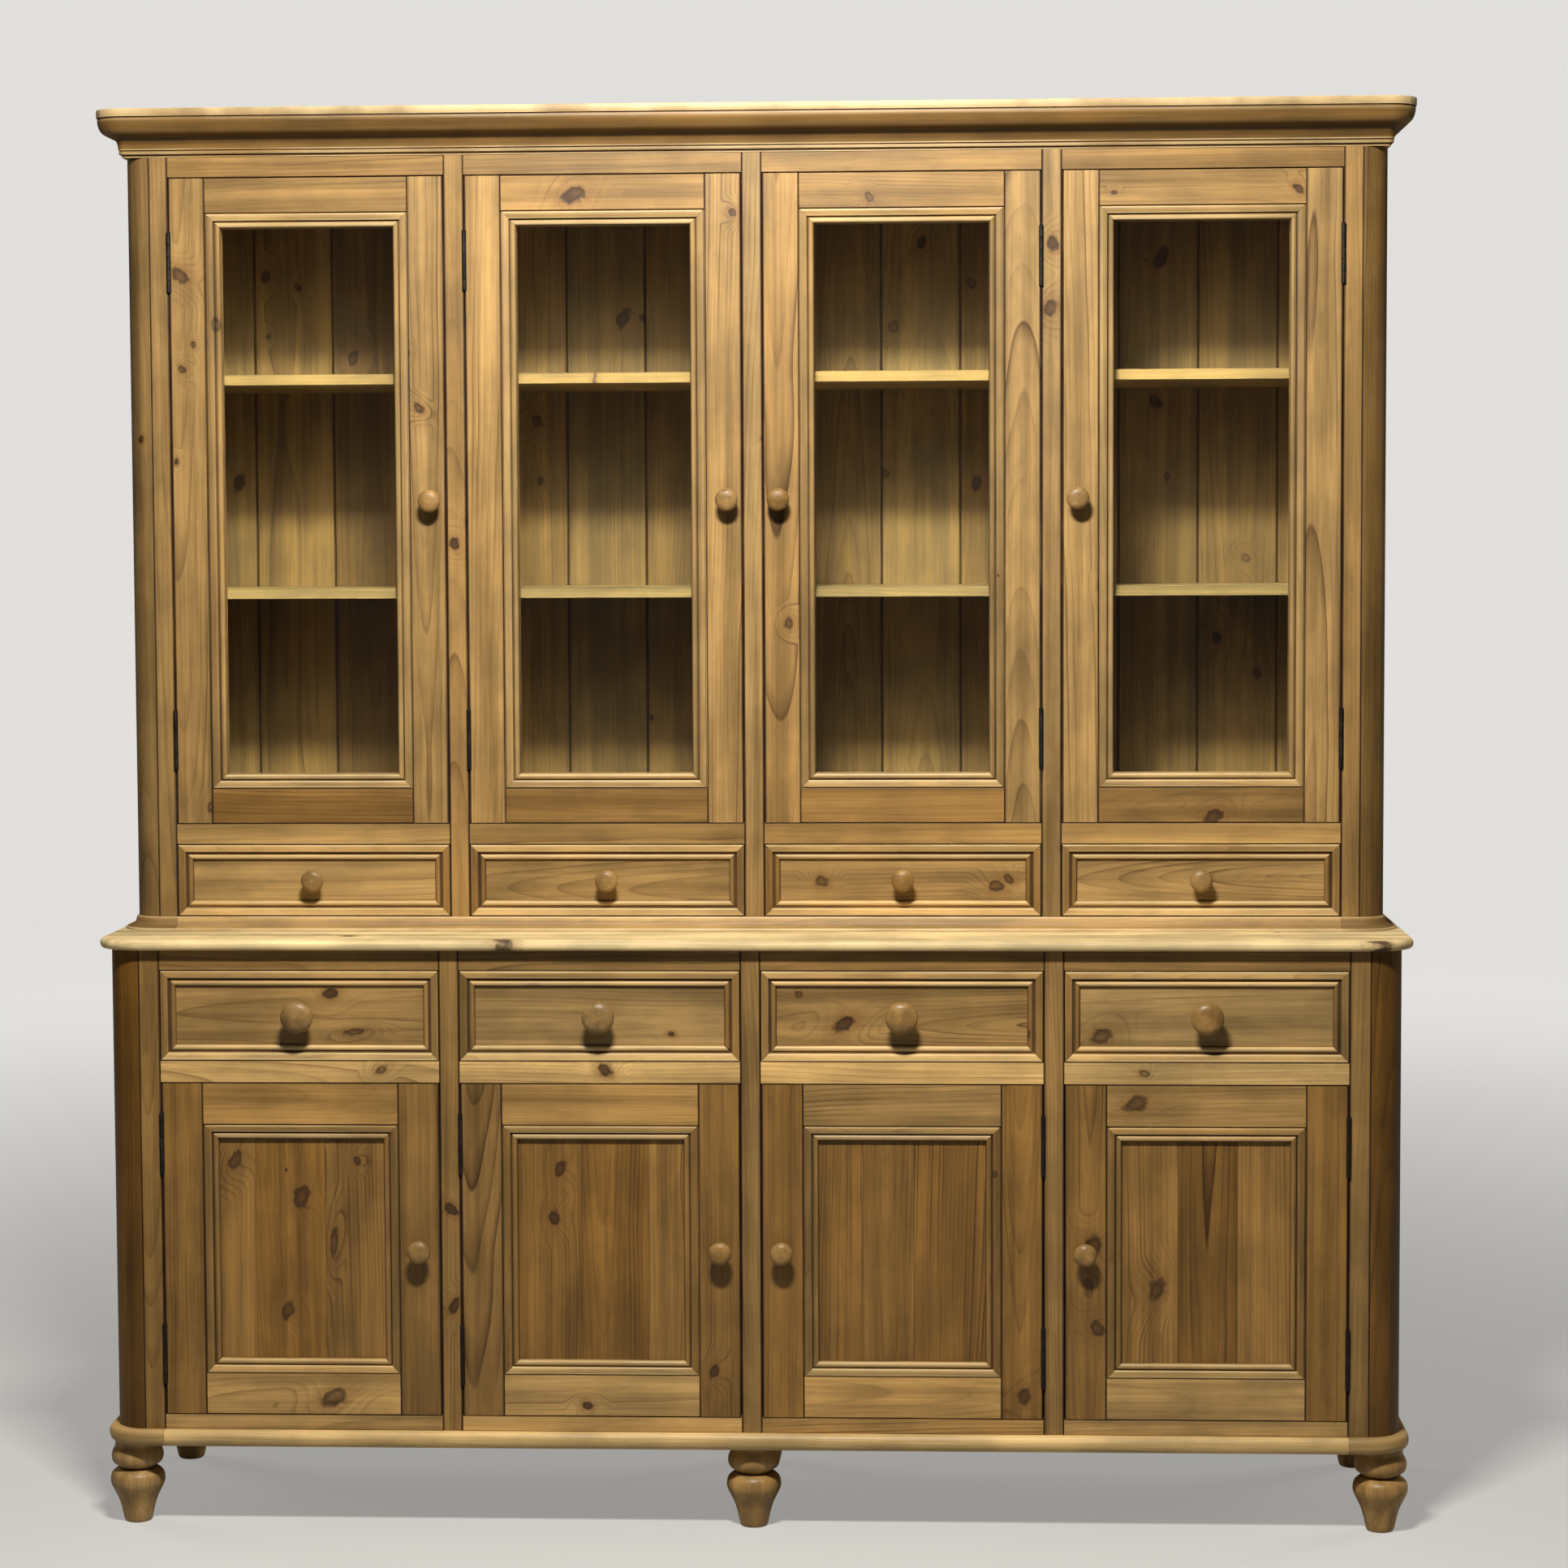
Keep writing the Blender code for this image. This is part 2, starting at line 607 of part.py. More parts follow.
def make_knob(name, diameter, length, material, parent, location):
    """A turned knob with its spigot, standing out of the front."""
    points = [(0, -SPIGOT_LENGTH), (SPIGOT_DIAMETER / 2, -SPIGOT_LENGTH), (SPIGOT_DIAMETER / 2, SEAT_GAP)]
    points += [(out * diameter / 2, SEAT_GAP + up * (length - SEAT_GAP)) for out, up in KNOB_SHARES]
    shape = bmesh.new()
    add_turning(shape, points, KNOB_SEGMENTS)
    knob = make_piece(name, shape, material, parent, location, smooth=True)
    knob.rotation_euler = (math.pi / 2, 0, 0)


def add_hinges(door, name, parent, low, high, inset):
    """Join the two hinge knuckles to the hinge edge of a door; the parent empty is on their axis."""
    shape = bmesh.new()
    for start in hinge_heights(low, high, inset):
        knuckle = [(0, start), (HINGE_KNUCKLE_RADIUS, start),
                   (HINGE_KNUCKLE_RADIUS, start + HINGE_LENGTH), (0, start + HINGE_LENGTH)]
        add_turning(shape, knuckle, HINGE_SIDES)
    combine(door, make_helper(name + "_knuckles", shape, parent), "UNION")


def make_door(name, bay, front, low, high, stile, rail, hinge_inset, knob_inset, glazed, materials):
    """One door with its hinges, its knob and, if it is glazed, its pane."""
    wood, knob_wood, glass = materials
    side = hinge_side(bay)
    width = OPENING_WIDTH - 2 * FRONT_GAP
    height = high - low - 2 * FRONT_GAP
    left = bay_centre(bay) - width / 2
    bottom = low + FRONT_GAP
    axis_x = bay_centre(bay) + side * (OPENING_WIDTH - FRONT_GAP) / 2
    axis_y = front - HINGE_STANDOFF
    hinge = make_empty(name + "_hinge", (axis_x, axis_y, bottom))
    place = (left - axis_x, HINGE_STANDOFF, 0)
    frame = make_door_frame(name + "_frame", width, height, stile, rail, glazed, wood, hinge, place)
    add_hinges(frame, name, hinge, 0, height, hinge_inset)
    knob_x = knob_inset if side > 0 else width - knob_inset
    add_knob_hole(frame, knob_x, height / 2, hinge, place)
    make_knob(name + "_knob", SMALL_KNOB_DIAMETER, SMALL_KNOB_LENGTH, knob_wood, hinge,
              (place[0] + knob_x, place[1], height / 2))
    if glazed:
        make_pane(name + "_glass", width, height, stile, rail, glass, hinge, place)


def make_pane(name, width, height, stile, rail, glass, parent, location):
    """The pane, which lies in the rebate behind the moulding."""
    setback = DOOR_MOULDING_WIDTH - GLASS_REBATE + GLASS_SIDE_CLEARANCE
    near = GLASS_SEAT_DEPTH + SEAT_GAP
    shape = bmesh.new()
    add_box(shape, (stile + setback, near, rail + setback),
            (width - stile - setback, near + GLASS_THICKNESS, height - rail - setback))
    make_piece(name, shape, glass, parent, location)


def make_doors(materials):
    """Four glazed doors above and four panelled doors below."""
    for bay in range(BAYS):
        number = str(bay + 1)
        make_door("upper_door_" + number, bay, upper_front, upper_door_low, upper_door_high,
                  UPPER_DOOR_STILE, UPPER_DOOR_RAIL, UPPER_HINGE_INSET, UPPER_KNOB_INSET, True, materials)
        make_door("lower_door_" + number, bay, lower_front, lower_door_low, lower_door_high,
                  LOWER_DOOR_STILE, LOWER_DOOR_RAIL, LOWER_HINGE_INSET, LOWER_KNOB_INSET, False, materials)


def tray_loop(shape, width, inset, front, back, z):
    """One level of the outside or inside of a drawer box."""
    corners = ((inset, front), (width - inset, front), (width - inset, back), (inset, back))
    return add_loop(shape, [(x, y, z) for x, y in corners])


def add_tray(shape, width, bottom, top, length):
    """The open box behind a drawer front; its front wall lies inside the front board."""
    outer = DRAWER_SIDE_SETIN
    inner = DRAWER_SIDE_SETIN + DRAWER_WALL
    hidden = FRAME_THICKNESS - OVERRUN
    inside = FRAME_THICKNESS - SEAT_GAP
    loops = [
        tray_loop(shape, width, outer, hidden, length, bottom),
        tray_loop(shape, width, outer, hidden, length, top),
        tray_loop(shape, width, inner, inside, length - DRAWER_WALL, top),
        tray_loop(shape, width, inner, inside, length - DRAWER_WALL, bottom + DRAWER_BOTTOM),
    ]
    skin_solid(shape, loops)


def make_drawer(name, bay, front, low, high, knob_diameter, knob_length, materials):
    """One drawer: a moulded front, the box behind it and its knob."""
    wood, knob_wood = materials
    width = OPENING_WIDTH - 2 * FRONT_GAP
    height = high - low - 2 * FRONT_GAP
    left = bay_centre(bay) - width / 2
    place = (left, front, low + FRONT_GAP)
    section = [(0, 0, FRAME_THICKNESS), (0, 0, EASED_EDGE)]
    section += moulding_section(0, 0, DRAWER_MOULDING_WIDTH, DRAWER_MOULDING_DEPTH)
    shape = bmesh.new()
    skin_solid(shape, [panel_loop(shape, width, height, *point) for point in section])
    drawer = make_piece(name, shape, wood, None, place)
    tray = bmesh.new()
    length = back_inner - DRAWER_BACK_CLEARANCE - front
    add_tray(tray, width, SEAT_GAP - FRONT_GAP, height - DRAWER_TOP_CLEARANCE, length)
    combine(drawer, make_helper(name + "_box", tray, None, place), "UNION")
    add_knob_hole(drawer, width / 2, height / 2, None, (place[0], front + DRAWER_MOULDING_DEPTH, place[2]))
    make_knob(name + "_knob", knob_diameter, knob_length, knob_wood, drawer,
              (width / 2, DRAWER_MOULDING_DEPTH, height / 2))


def make_drawers(materials):
    """Four small drawers above and four deeper ones below."""
    for bay in range(BAYS):
        number = str(bay + 1)
        make_drawer("upper_drawer_" + number, bay, upper_front, upper_bottom, upper_drawer_high,
                    SMALL_KNOB_DIAMETER, SMALL_KNOB_LENGTH, materials)
        make_drawer("lower_drawer_" + number, bay, lower_front, lower_drawer_low, lower_drawer_high,
                    LARGE_KNOB_DIAMETER, LARGE_KNOB_LENGTH, materials)


def make_feet(material):
    """Three turned feet under the front and three under the back."""
    points = [(out * FOOT_DIAMETER / 2, up * FOOT_HEIGHT) for out, up in FOOT_SHARES]
    side_x = lower_half - FOOT_SIDE_INSET
    rows = (("front", lower_front + FOOT_FRONT_INSET), ("back", back_y - FOOT_BACK_INSET))
    for row, y in rows:
        for word, x in (("left", -side_x), ("middle", 0), ("right", side_x)):
            shape = bmesh.new()
            add_turning(shape, points, FOOT_SEGMENTS)
            make_piece(row + "_" + word + "_foot", shape, material, None, (x, y, 0), smooth=True)


def build():
    """Make the whole dresser."""
    clear_scene()
    case = make_material("waxed_pine", (0.46, 0.29, 0.13), 0.45)
    front = make_material("front_pine", (0.50, 0.32, 0.15), 0.42)
    inside = make_material("inside_pine", (0.34, 0.22, 0.10), 0.6)
    turned = make_material("turned_pine", (0.56, 0.38, 0.19), 0.4)
    glass = make_material("window_glass", (0.80, 0.85, 0.82), 0.05, alpha=0.35)
    make_feet(turned)
    make_plinth(case)
    make_counter(case)
    make_upper_base(case)
    make_cornice(case)
    make_sides(case)
    make_face_frames(case)
    make_back("lower_back_boards", lower_half, lower_bottom, lower_top, inside)
    make_back("upper_back_boards", upper_half, upper_bottom, upper_top, inside)
    make_decks(inside)
    make_shelves(inside)
    make_doors((front, turned, glass))
    make_drawers((front, turned))


build()
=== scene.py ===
# %% [markdown]
# # A pine kitchen dresser
# The real dresser is two cases of waxed pine, a glazed one standing on a panelled one. Every visible board is
# a separate length of wood with its own grain, so this script builds boards, and not one smooth block.
# It starts from the measured solids, which say where each part lies, and puts the joinery round them.

# %% Load the measured dresser
import math
import random

import bmesh
import bpy
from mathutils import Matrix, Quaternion, Vector


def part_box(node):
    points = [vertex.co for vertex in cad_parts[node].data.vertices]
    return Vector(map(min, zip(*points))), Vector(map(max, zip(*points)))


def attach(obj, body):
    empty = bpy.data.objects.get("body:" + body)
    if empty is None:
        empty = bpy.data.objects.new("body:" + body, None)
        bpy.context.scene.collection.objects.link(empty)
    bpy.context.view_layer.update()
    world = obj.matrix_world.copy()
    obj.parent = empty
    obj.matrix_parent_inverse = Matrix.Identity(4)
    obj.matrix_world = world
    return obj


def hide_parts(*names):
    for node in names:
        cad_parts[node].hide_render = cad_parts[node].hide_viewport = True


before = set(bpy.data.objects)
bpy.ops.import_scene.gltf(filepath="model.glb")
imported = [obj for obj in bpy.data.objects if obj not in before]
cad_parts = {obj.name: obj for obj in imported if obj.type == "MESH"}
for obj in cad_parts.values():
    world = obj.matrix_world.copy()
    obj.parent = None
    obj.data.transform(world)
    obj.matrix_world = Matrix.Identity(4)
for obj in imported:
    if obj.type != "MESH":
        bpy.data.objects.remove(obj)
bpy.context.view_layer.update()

print("parts in the frame:", len(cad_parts))

# %% [markdown]
# A maker works from a rod, a stick with every size marked on it. The solids already hold the places, so most
# sizes are read from them. What they can't tell, such as the width of a stile, is repeated here by name.

# %% Sizes on the rod
BAYS = (1, 2, 3, 4)
FRONT_GAP = 0.0015
SEAT_GAP = 0.0003
JOINT_GAP = 0.0002
ARRIS = 0.0007
FRAME_THICKNESS = 0.022
SIDE_THICKNESS = 0.022
BACK_THICKNESS = 0.012
BACK_REBATE = 0.010
LOWER_RADIUS = 0.048
UPPER_RADIUS = 0.038


class Case:
    """One of the two cases: where its front, back, ends and corners are."""

    def __init__(self, name, radius):
        low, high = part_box(name + "_face_frame")
        side_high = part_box(name + "_right_side")[1]
        self.name = name
        self.radius = radius
        self.low = low.z
        self.high = high.z
        self.front = low.y
        self.back = side_high.y
        self.back_inner = side_high.y - BACK_THICKNESS
        self.half = side_high.x
        self.stile_end = high.x
        self.inner_half = side_high.x - SIDE_THICKNESS


lower = Case("lower", LOWER_RADIUS)
upper = Case("upper", UPPER_RADIUS)


def bay_span(bay):
    """The left and right edges of what fills a bay's opening."""
    low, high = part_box("lower_drawer_%d" % bay)
    return low.x, high.x


def opening_heights(row):
    """The lower and upper edges of a row's doors and of its drawer fronts."""
    door_low, door_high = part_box(row + "_door_1_frame")
    drawer_low, drawer_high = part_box(row + "_drawer_1")
    return door_low.z, door_high.z, drawer_low.z + FRONT_GAP - SEAT_GAP, drawer_high.z


print("lower case is", round(2 * lower.half, 3), "wide, upper case", round(2 * upper.half, 3))

# %% [markdown]
# The camera comes next, because the places of some knots are read from the photograph through it. A pixel
# gives a direction, and a direction meets the front of the dresser in one point.

# %% Camera
PHOTO_WIDTH = 1932
SENSOR_WIDTH = 36.0
FOCAL_PIXELS = 4443.7
CAMERA_PLACE = Vector((0.3005, -5.4397, 1.4474))
CAMERA_YAW, CAMERA_PITCH, CAMERA_ROLL = 0.0477, -0.0654, 0.0045

ahead = Vector((-math.sin(CAMERA_YAW) * math.cos(CAMERA_PITCH),
                math.cos(CAMERA_YAW) * math.cos(CAMERA_PITCH), math.sin(CAMERA_PITCH)))
camera_turn = ahead.to_track_quat("-Z", "Y") @ Quaternion((0, 0, 1), -CAMERA_ROLL)
camera = bpy.data.objects.new("camera", bpy.data.cameras.new("camera"))
camera.data.sensor_width = SENSOR_WIDTH
camera.data.lens = FOCAL_PIXELS / PHOTO_WIDTH * SENSOR_WIDTH
camera.location = CAMERA_PLACE
camera.rotation_mode = "QUATERNION"
camera.rotation_quaternion = camera_turn
bpy.context.scene.collection.objects.link(camera)
bpy.context.scene.camera = camera


def seen_at(pixel_x, pixel_y, plane_y):
    """The point on an upright plane that shows at a pixel of the photograph."""
    direction = camera_turn @ Vector((pixel_x - PHOTO_WIDTH / 2, PHOTO_WIDTH / 2 - pixel_y, -FOCAL_PIXELS))
    return CAMERA_PLACE + direction * ((plane_y - CAMERA_PLACE.y) / direction.y)


print("lens", round(camera.data.lens, 1), "mm; middle of the picture meets the front at",
      [round(c, 3) for c in seen_at(PHOTO_WIDTH / 2, PHOTO_WIDTH / 2, upper.front)])

# %% [markdown]
# Paint, wood, iron and glass are all made of shader nodes. These few helpers add a node and wire it up in one
# line, so that a material reads as a list of steps. Later a board's own coordinates are read by name.

# %% Node helpers
def feed(tree, node, inputs):
    """Fill a node's inputs; an input that is a socket gets linked, and any other value is set."""
    for key, value in inputs.items():
        if isinstance(value, bpy.types.NodeSocket):
            tree.links.new(value, node.inputs[key])
        else:
            node.inputs[key].default_value = value
    return node


def wire(tree, kind, inputs=(), **settings):
    """Add a shader node and fill its inputs."""
    made = tree.nodes.new("ShaderNode" + kind)
    for key, value in settings.items():
        setattr(made, key, value)
    return feed(tree, made, dict(inputs))


def sums(tree, operation, *values):
    """One Math node and its answer."""
    return wire(tree, "Math", dict(enumerate(values)), operation=operation).outputs[0]


def times(tree, first, second):
    """The product of two values."""
    return sums(tree, "MULTIPLY", first, second)


def ease_between(tree, value, start, end, low=0.0, high=1.0):
    """Go smoothly from low to high as a value goes from start to end."""
    given = {"Value": value, "From Min": start, "From Max": end, "To Min": low, "To Max": high}
    return wire(tree, "MapRange", given, interpolation_type="SMOOTHSTEP").outputs[0]


def blend_colours(tree, factor, first, second, mode="MIX"):
    """Mix two colours."""
    given = {"Factor": factor}
    for index, value in ((6, first), (7, second)):
        given[index] = value if isinstance(value, bpy.types.NodeSocket) else (*value, 1.0)
    return wire(tree, "Mix", given, data_type="RGBA", blend_type=mode).outputs[2]


def object_noise(tree, scale, detail):
    """Noise that stays in its place on a piece."""
    spot = wire(tree, "TexCoord").outputs["Object"]
    return wire(tree, "TexNoise", {"Vector": spot, "Scale": scale, "Detail": detail}).outputs["Fac"]


def bump(tree, strength, distance, height):
    """The normals of a surface whose relief is this many metres deep."""
    return wire(tree, "Bump", {"Strength": strength, "Distance": distance, "Height": height}).outputs[0]


def start_group(name, inputs, outputs):
    """A node group with named sockets, ready to be filled in."""
    tree = bpy.data.node_groups.new(name, "ShaderNodeTree")
    for socket, kind, value in inputs:
        made = tree.interface.new_socket(socket, in_out="INPUT", socket_type="NodeSocket" + kind)
        made.default_value = value
    for socket, kind in outputs:
        tree.interface.new_socket(socket, in_out="OUTPUT", socket_type="NodeSocket" + kind)
    return tree, tree.nodes.new("NodeGroupInput").outputs, tree.nodes.new("NodeGroupOutput").inputs


def read(tree, name):
    """The three numbers that a board carries under a name."""
    source = wire(tree, "Attribute", attribute_name=name).outputs["Vector"]
    return wire(tree, "SeparateXYZ", {0: source}).outputs


def start_material(name):
    """A new material, its node tree and its main shader."""
    material = bpy.data.materials.new(name)
    material.use_nodes = True
    tree = material.node_tree
    return material, tree, tree.nodes["Principled BSDF"]


print("node helpers ready")

# %% [markdown]
# A pale studio bowl stands in for the room: a round floor that curves up into a wall, so no view has a
# hard horizon. A soft light above and in front lights the top of the dresser most and throws the shadow of
# each knob and moulding straight down. Two weak lights behind the corners make the sides and back visible.

# %% Studio
FLOOR_RADIUS = 9.0
BOWL_RADIUS = 3.0
WALL_HEIGHT = 9.0
BOWL_SEGMENTS = 96
BOWL_STEPS = 10
KEY_PLACE = (-0.05, -1.95, 3.05)
KEY_TARGET = (0.0, 0.0, 0.70)
KEY_WIDTH, KEY_DEPTH = 0.55, 0.22
KEY_POWER = 124.0
LIGHT_COLOUR = (1.0, 0.965, 0.89)
FILL_PLACE = (0.2, -6.5, 1.9)
FILL_WIDTH = 4.0
FILL_POWER = 4.0
SIDE_PLACE = (4.8, 2.8, 1.9)
SIDE_WIDTH = 2.0
SIDE_POWER = 75.0
AIM = (0.0, 0.0, 1.0)
BOWL_PAINT = (0.36, 0.36, 0.35, 1.0)
BOWL_ROUGHNESS = 0.85
BOWL_GLOW = (1.0, 0.985, 0.95, 1.0)
GLOW_START, GLOW_END = 1.2, 7.0
GLOW_NEAR, GLOW_FAR = 0.30, 0.72
WORLD_COLOUR = (1.0, 0.99, 0.96, 1.0)
WORLD_STRENGTH = 0.05


def add_light(name, place, target, width, depth, power, mirrored=True):
    """A soft light that points at a target; one that isn't mirrored doesn't show in the panes."""
    data = bpy.data.lights.new(name, "AREA")
    data.shape = "RECTANGLE"
    data.size, data.size_y = width, depth
    data.energy = power
    data.color = LIGHT_COLOUR
    light = bpy.data.objects.new(name, data)
    light.location = place
    light.rotation_mode = "QUATERNION"
    light.rotation_quaternion = (Vector(target) - Vector(place)).to_track_quat("-Z", "Y")
    light.visible_glossy = mirrored
    bpy.context.scene.collection.objects.link(light)


def make_bowl_paint():
    """Plain paint with a glow further out that is seen but lights nothing, so the wall stays pale."""
    material, tree, shader = start_material("studio_paint")
    spot = wire(tree, "TexCoord").outputs["Object"]
    distance = wire(tree, "VectorMath", {0: spot}, operation="LENGTH").outputs["Value"]
    glow = ease_between(tree, distance, GLOW_START, GLOW_END, GLOW_NEAR, GLOW_FAR)
    rays = wire(tree, "LightPath").outputs
    bounces = sums(tree, "ADD", rays["Diffuse Depth"], rays["Glossy Depth"])
    through_glass = times(tree, rays["Is Transmission Ray"], sums(tree, "LESS_THAN", bounces, 0.5))
    seen = sums(tree, "MAXIMUM", rays["Is Camera Ray"], through_glass)
    feed(tree, shader, {"Base Color": BOWL_PAINT, "Roughness": BOWL_ROUGHNESS, "Emission Color": BOWL_GLOW,
                        "Emission Strength": times(tree, glow, seen)})
    return material


def add_studio_bowl():
    """The floor and the wall round it, turned as one smooth shell."""
    profile = [(0.0, 0.0), (FLOOR_RADIUS, 0.0)]
    for step in range(1, BOWL_STEPS + 1):
        angle = math.pi / 2 * step / BOWL_STEPS
        profile.append((FLOOR_RADIUS + BOWL_RADIUS * math.sin(angle), BOWL_RADIUS * (1 - math.cos(angle))))
    profile.append((FLOOR_RADIUS + BOWL_RADIUS, WALL_HEIGHT))
    shape = bmesh.new()
    spine = [shape.verts.new((radius, 0, height)) for radius, height in profile]
    edges = [shape.edges.new(pair) for pair in zip(spine, spine[1:])]
    bmesh.ops.spin(shape, geom=spine + edges, cent=(0, 0, 0), axis=(0, 0, 1), angle=2 * math.pi,
                   steps=BOWL_SEGMENTS, use_merge=True)
    bmesh.ops.remove_doubles(shape, verts=shape.verts[:], dist=ARRIS)
    mesh = bpy.data.meshes.new("studio_floor")
    shape.to_mesh(mesh)
    shape.free()
    mesh.shade_smooth()
    floor = bpy.data.objects.new("studio_floor", mesh)
    bpy.context.scene.collection.objects.link(floor)
    mesh.materials.append(make_bowl_paint())


add_studio_bowl()
add_light("ceiling_light", KEY_PLACE, KEY_TARGET, KEY_WIDTH, KEY_DEPTH, KEY_POWER)
add_light("fill_light", FILL_PLACE, AIM, FILL_WIDTH, FILL_WIDTH, FILL_POWER, mirrored=False)
for name, way in (("left_light", -1), ("right_light", 1)):
    place = (way * SIDE_PLACE[0], SIDE_PLACE[1], SIDE_PLACE[2])
    add_light(name, place, AIM, SIDE_WIDTH, SIDE_WIDTH, SIDE_POWER, mirrored=False)
world = bpy.data.worlds.new("studio_air")
world.use_nodes = True
feed(world.node_tree, world.node_tree.nodes["Background"],
     {"Color": WORLD_COLOUR, "Strength": WORLD_STRENGTH})
bpy.context.scene.world = world
bpy.context.scene.view_settings.view_transform = "Standard"
print("studio lights:", 4)

# %% [markdown]
# Pine shows its growth rings wherever a saw cuts through the log. Each board therefore carries its own place
# in a log: how far each point lies along it, across it and into it, and where the heart of the tree was.
# The material works the rings out from these, which gives straight grain on one board and arches on another.
# The figure of pine has four parts. The rings are pale early wood that darkens towards each hard late line.
# Fine fibres streak along them, knots push the rings aside, and resin colours the wood round each knot.
# They are one node group that puts out plain masks, so that every pine finish below can share it.

# %% Shader group: pine figure
RING_RAMP = ((0.0, 0.06), (0.55, 0.14), (0.84, 0.60), (0.95, 1.0), (1.0, 0.06))
KNOT_ROUNDNESS, KNOT_VARIETY = 0.95, -0.35
KNOT_SKEW = 1.2
KNOT_SIZE = 0.85
SLIT_STRETCH = 0.42
LEAST_RADIUS = 0.0001
RANDOM_KNOT_SIZE = 0.064
LEAST_RANDOM_SIZE = 0.0005
RING_PUSH, PUSH_REACH = 0.020, 5.0
YEARS_OF_DRIFT = 3.0
SPACING, WANDER, KNOT_CHANCE = 0.0052, 0.016, 0.42
BOARD_STEP = 3.7
NOISE_ROUGHNESS = 0.6
NOISES = {
    "drift": (1.7, 6.0, 2.0), "edge": (90.0, 90.0, 1.0, 5.0), "fading": (2.0, 9.0, 1.0, 31.0),
    "Streaks": (1.1, 46.0, 4.0, 11.0), "Fibres": (7.0, 330.0, 2.0, 23.0), "Patches": (6.0, 11.0, 4.0, 47.0),
}
CELL_SCALE, CELL_STRETCH, CELL_STEP = 8.0, 0.72, 1.3
EDGE_RAGGEDNESS, EDGE_LEAST = 1.1, 0.45
YEAR_CURVE, YEAR_RANGE, YEAR_LEAST = 1.6, 0.80, 0.20
FADING = (0.36, 0.58, 0.35, 1.0)
KNOT_EDGE, RESIN_EDGE = (0.75, 1.15), (0.9, 3.0)
RIM_START, RIM_END = (0.30, 0.85), (0.95, 1.3)


def length_of(tree, first, second):
    """The length of a line from its two legs."""
    squares = sums(tree, "MULTIPLY_ADD", first, first, times(tree, second, second))
    return sums(tree, "SQRT", squares)


def knot_nearness(tree, name, along, across):
    """How far a point is from a knot the board carries, in knot radii; a radius below 0 is a long slit."""
    place = read(tree, name)
    luck = wire(tree, "TexWhiteNoise", {"W": place[0]}, noise_dimensions="1D").outputs["Value"]
    slit = sums(tree, "LESS_THAN", place[2], 0.0)
    squeeze = sums(tree, "MULTIPLY_ADD", luck, KNOT_VARIETY, KNOT_ROUNDNESS)
    squeeze = sums(tree, "SUBTRACT", squeeze, times(tree, slit, SLIT_STRETCH))
    off_along = times(tree, sums(tree, "SUBTRACT", along, place[0]), squeeze)
    skew = times(tree, off_along, sums(tree, "MULTIPLY_ADD", luck, KNOT_SKEW, -KNOT_SKEW / 2))
    off_across = sums(tree, "SUBTRACT", sums(tree, "SUBTRACT", across, place[1]), skew)
    radius = times(tree, sums(tree, "ABSOLUTE", place[2]), KNOT_SIZE)
    radius = sums(tree, "MAXIMUM", radius, LEAST_RADIUS)
    return sums(tree, "DIVIDE", length_of(tree, off_along, off_across), radius)


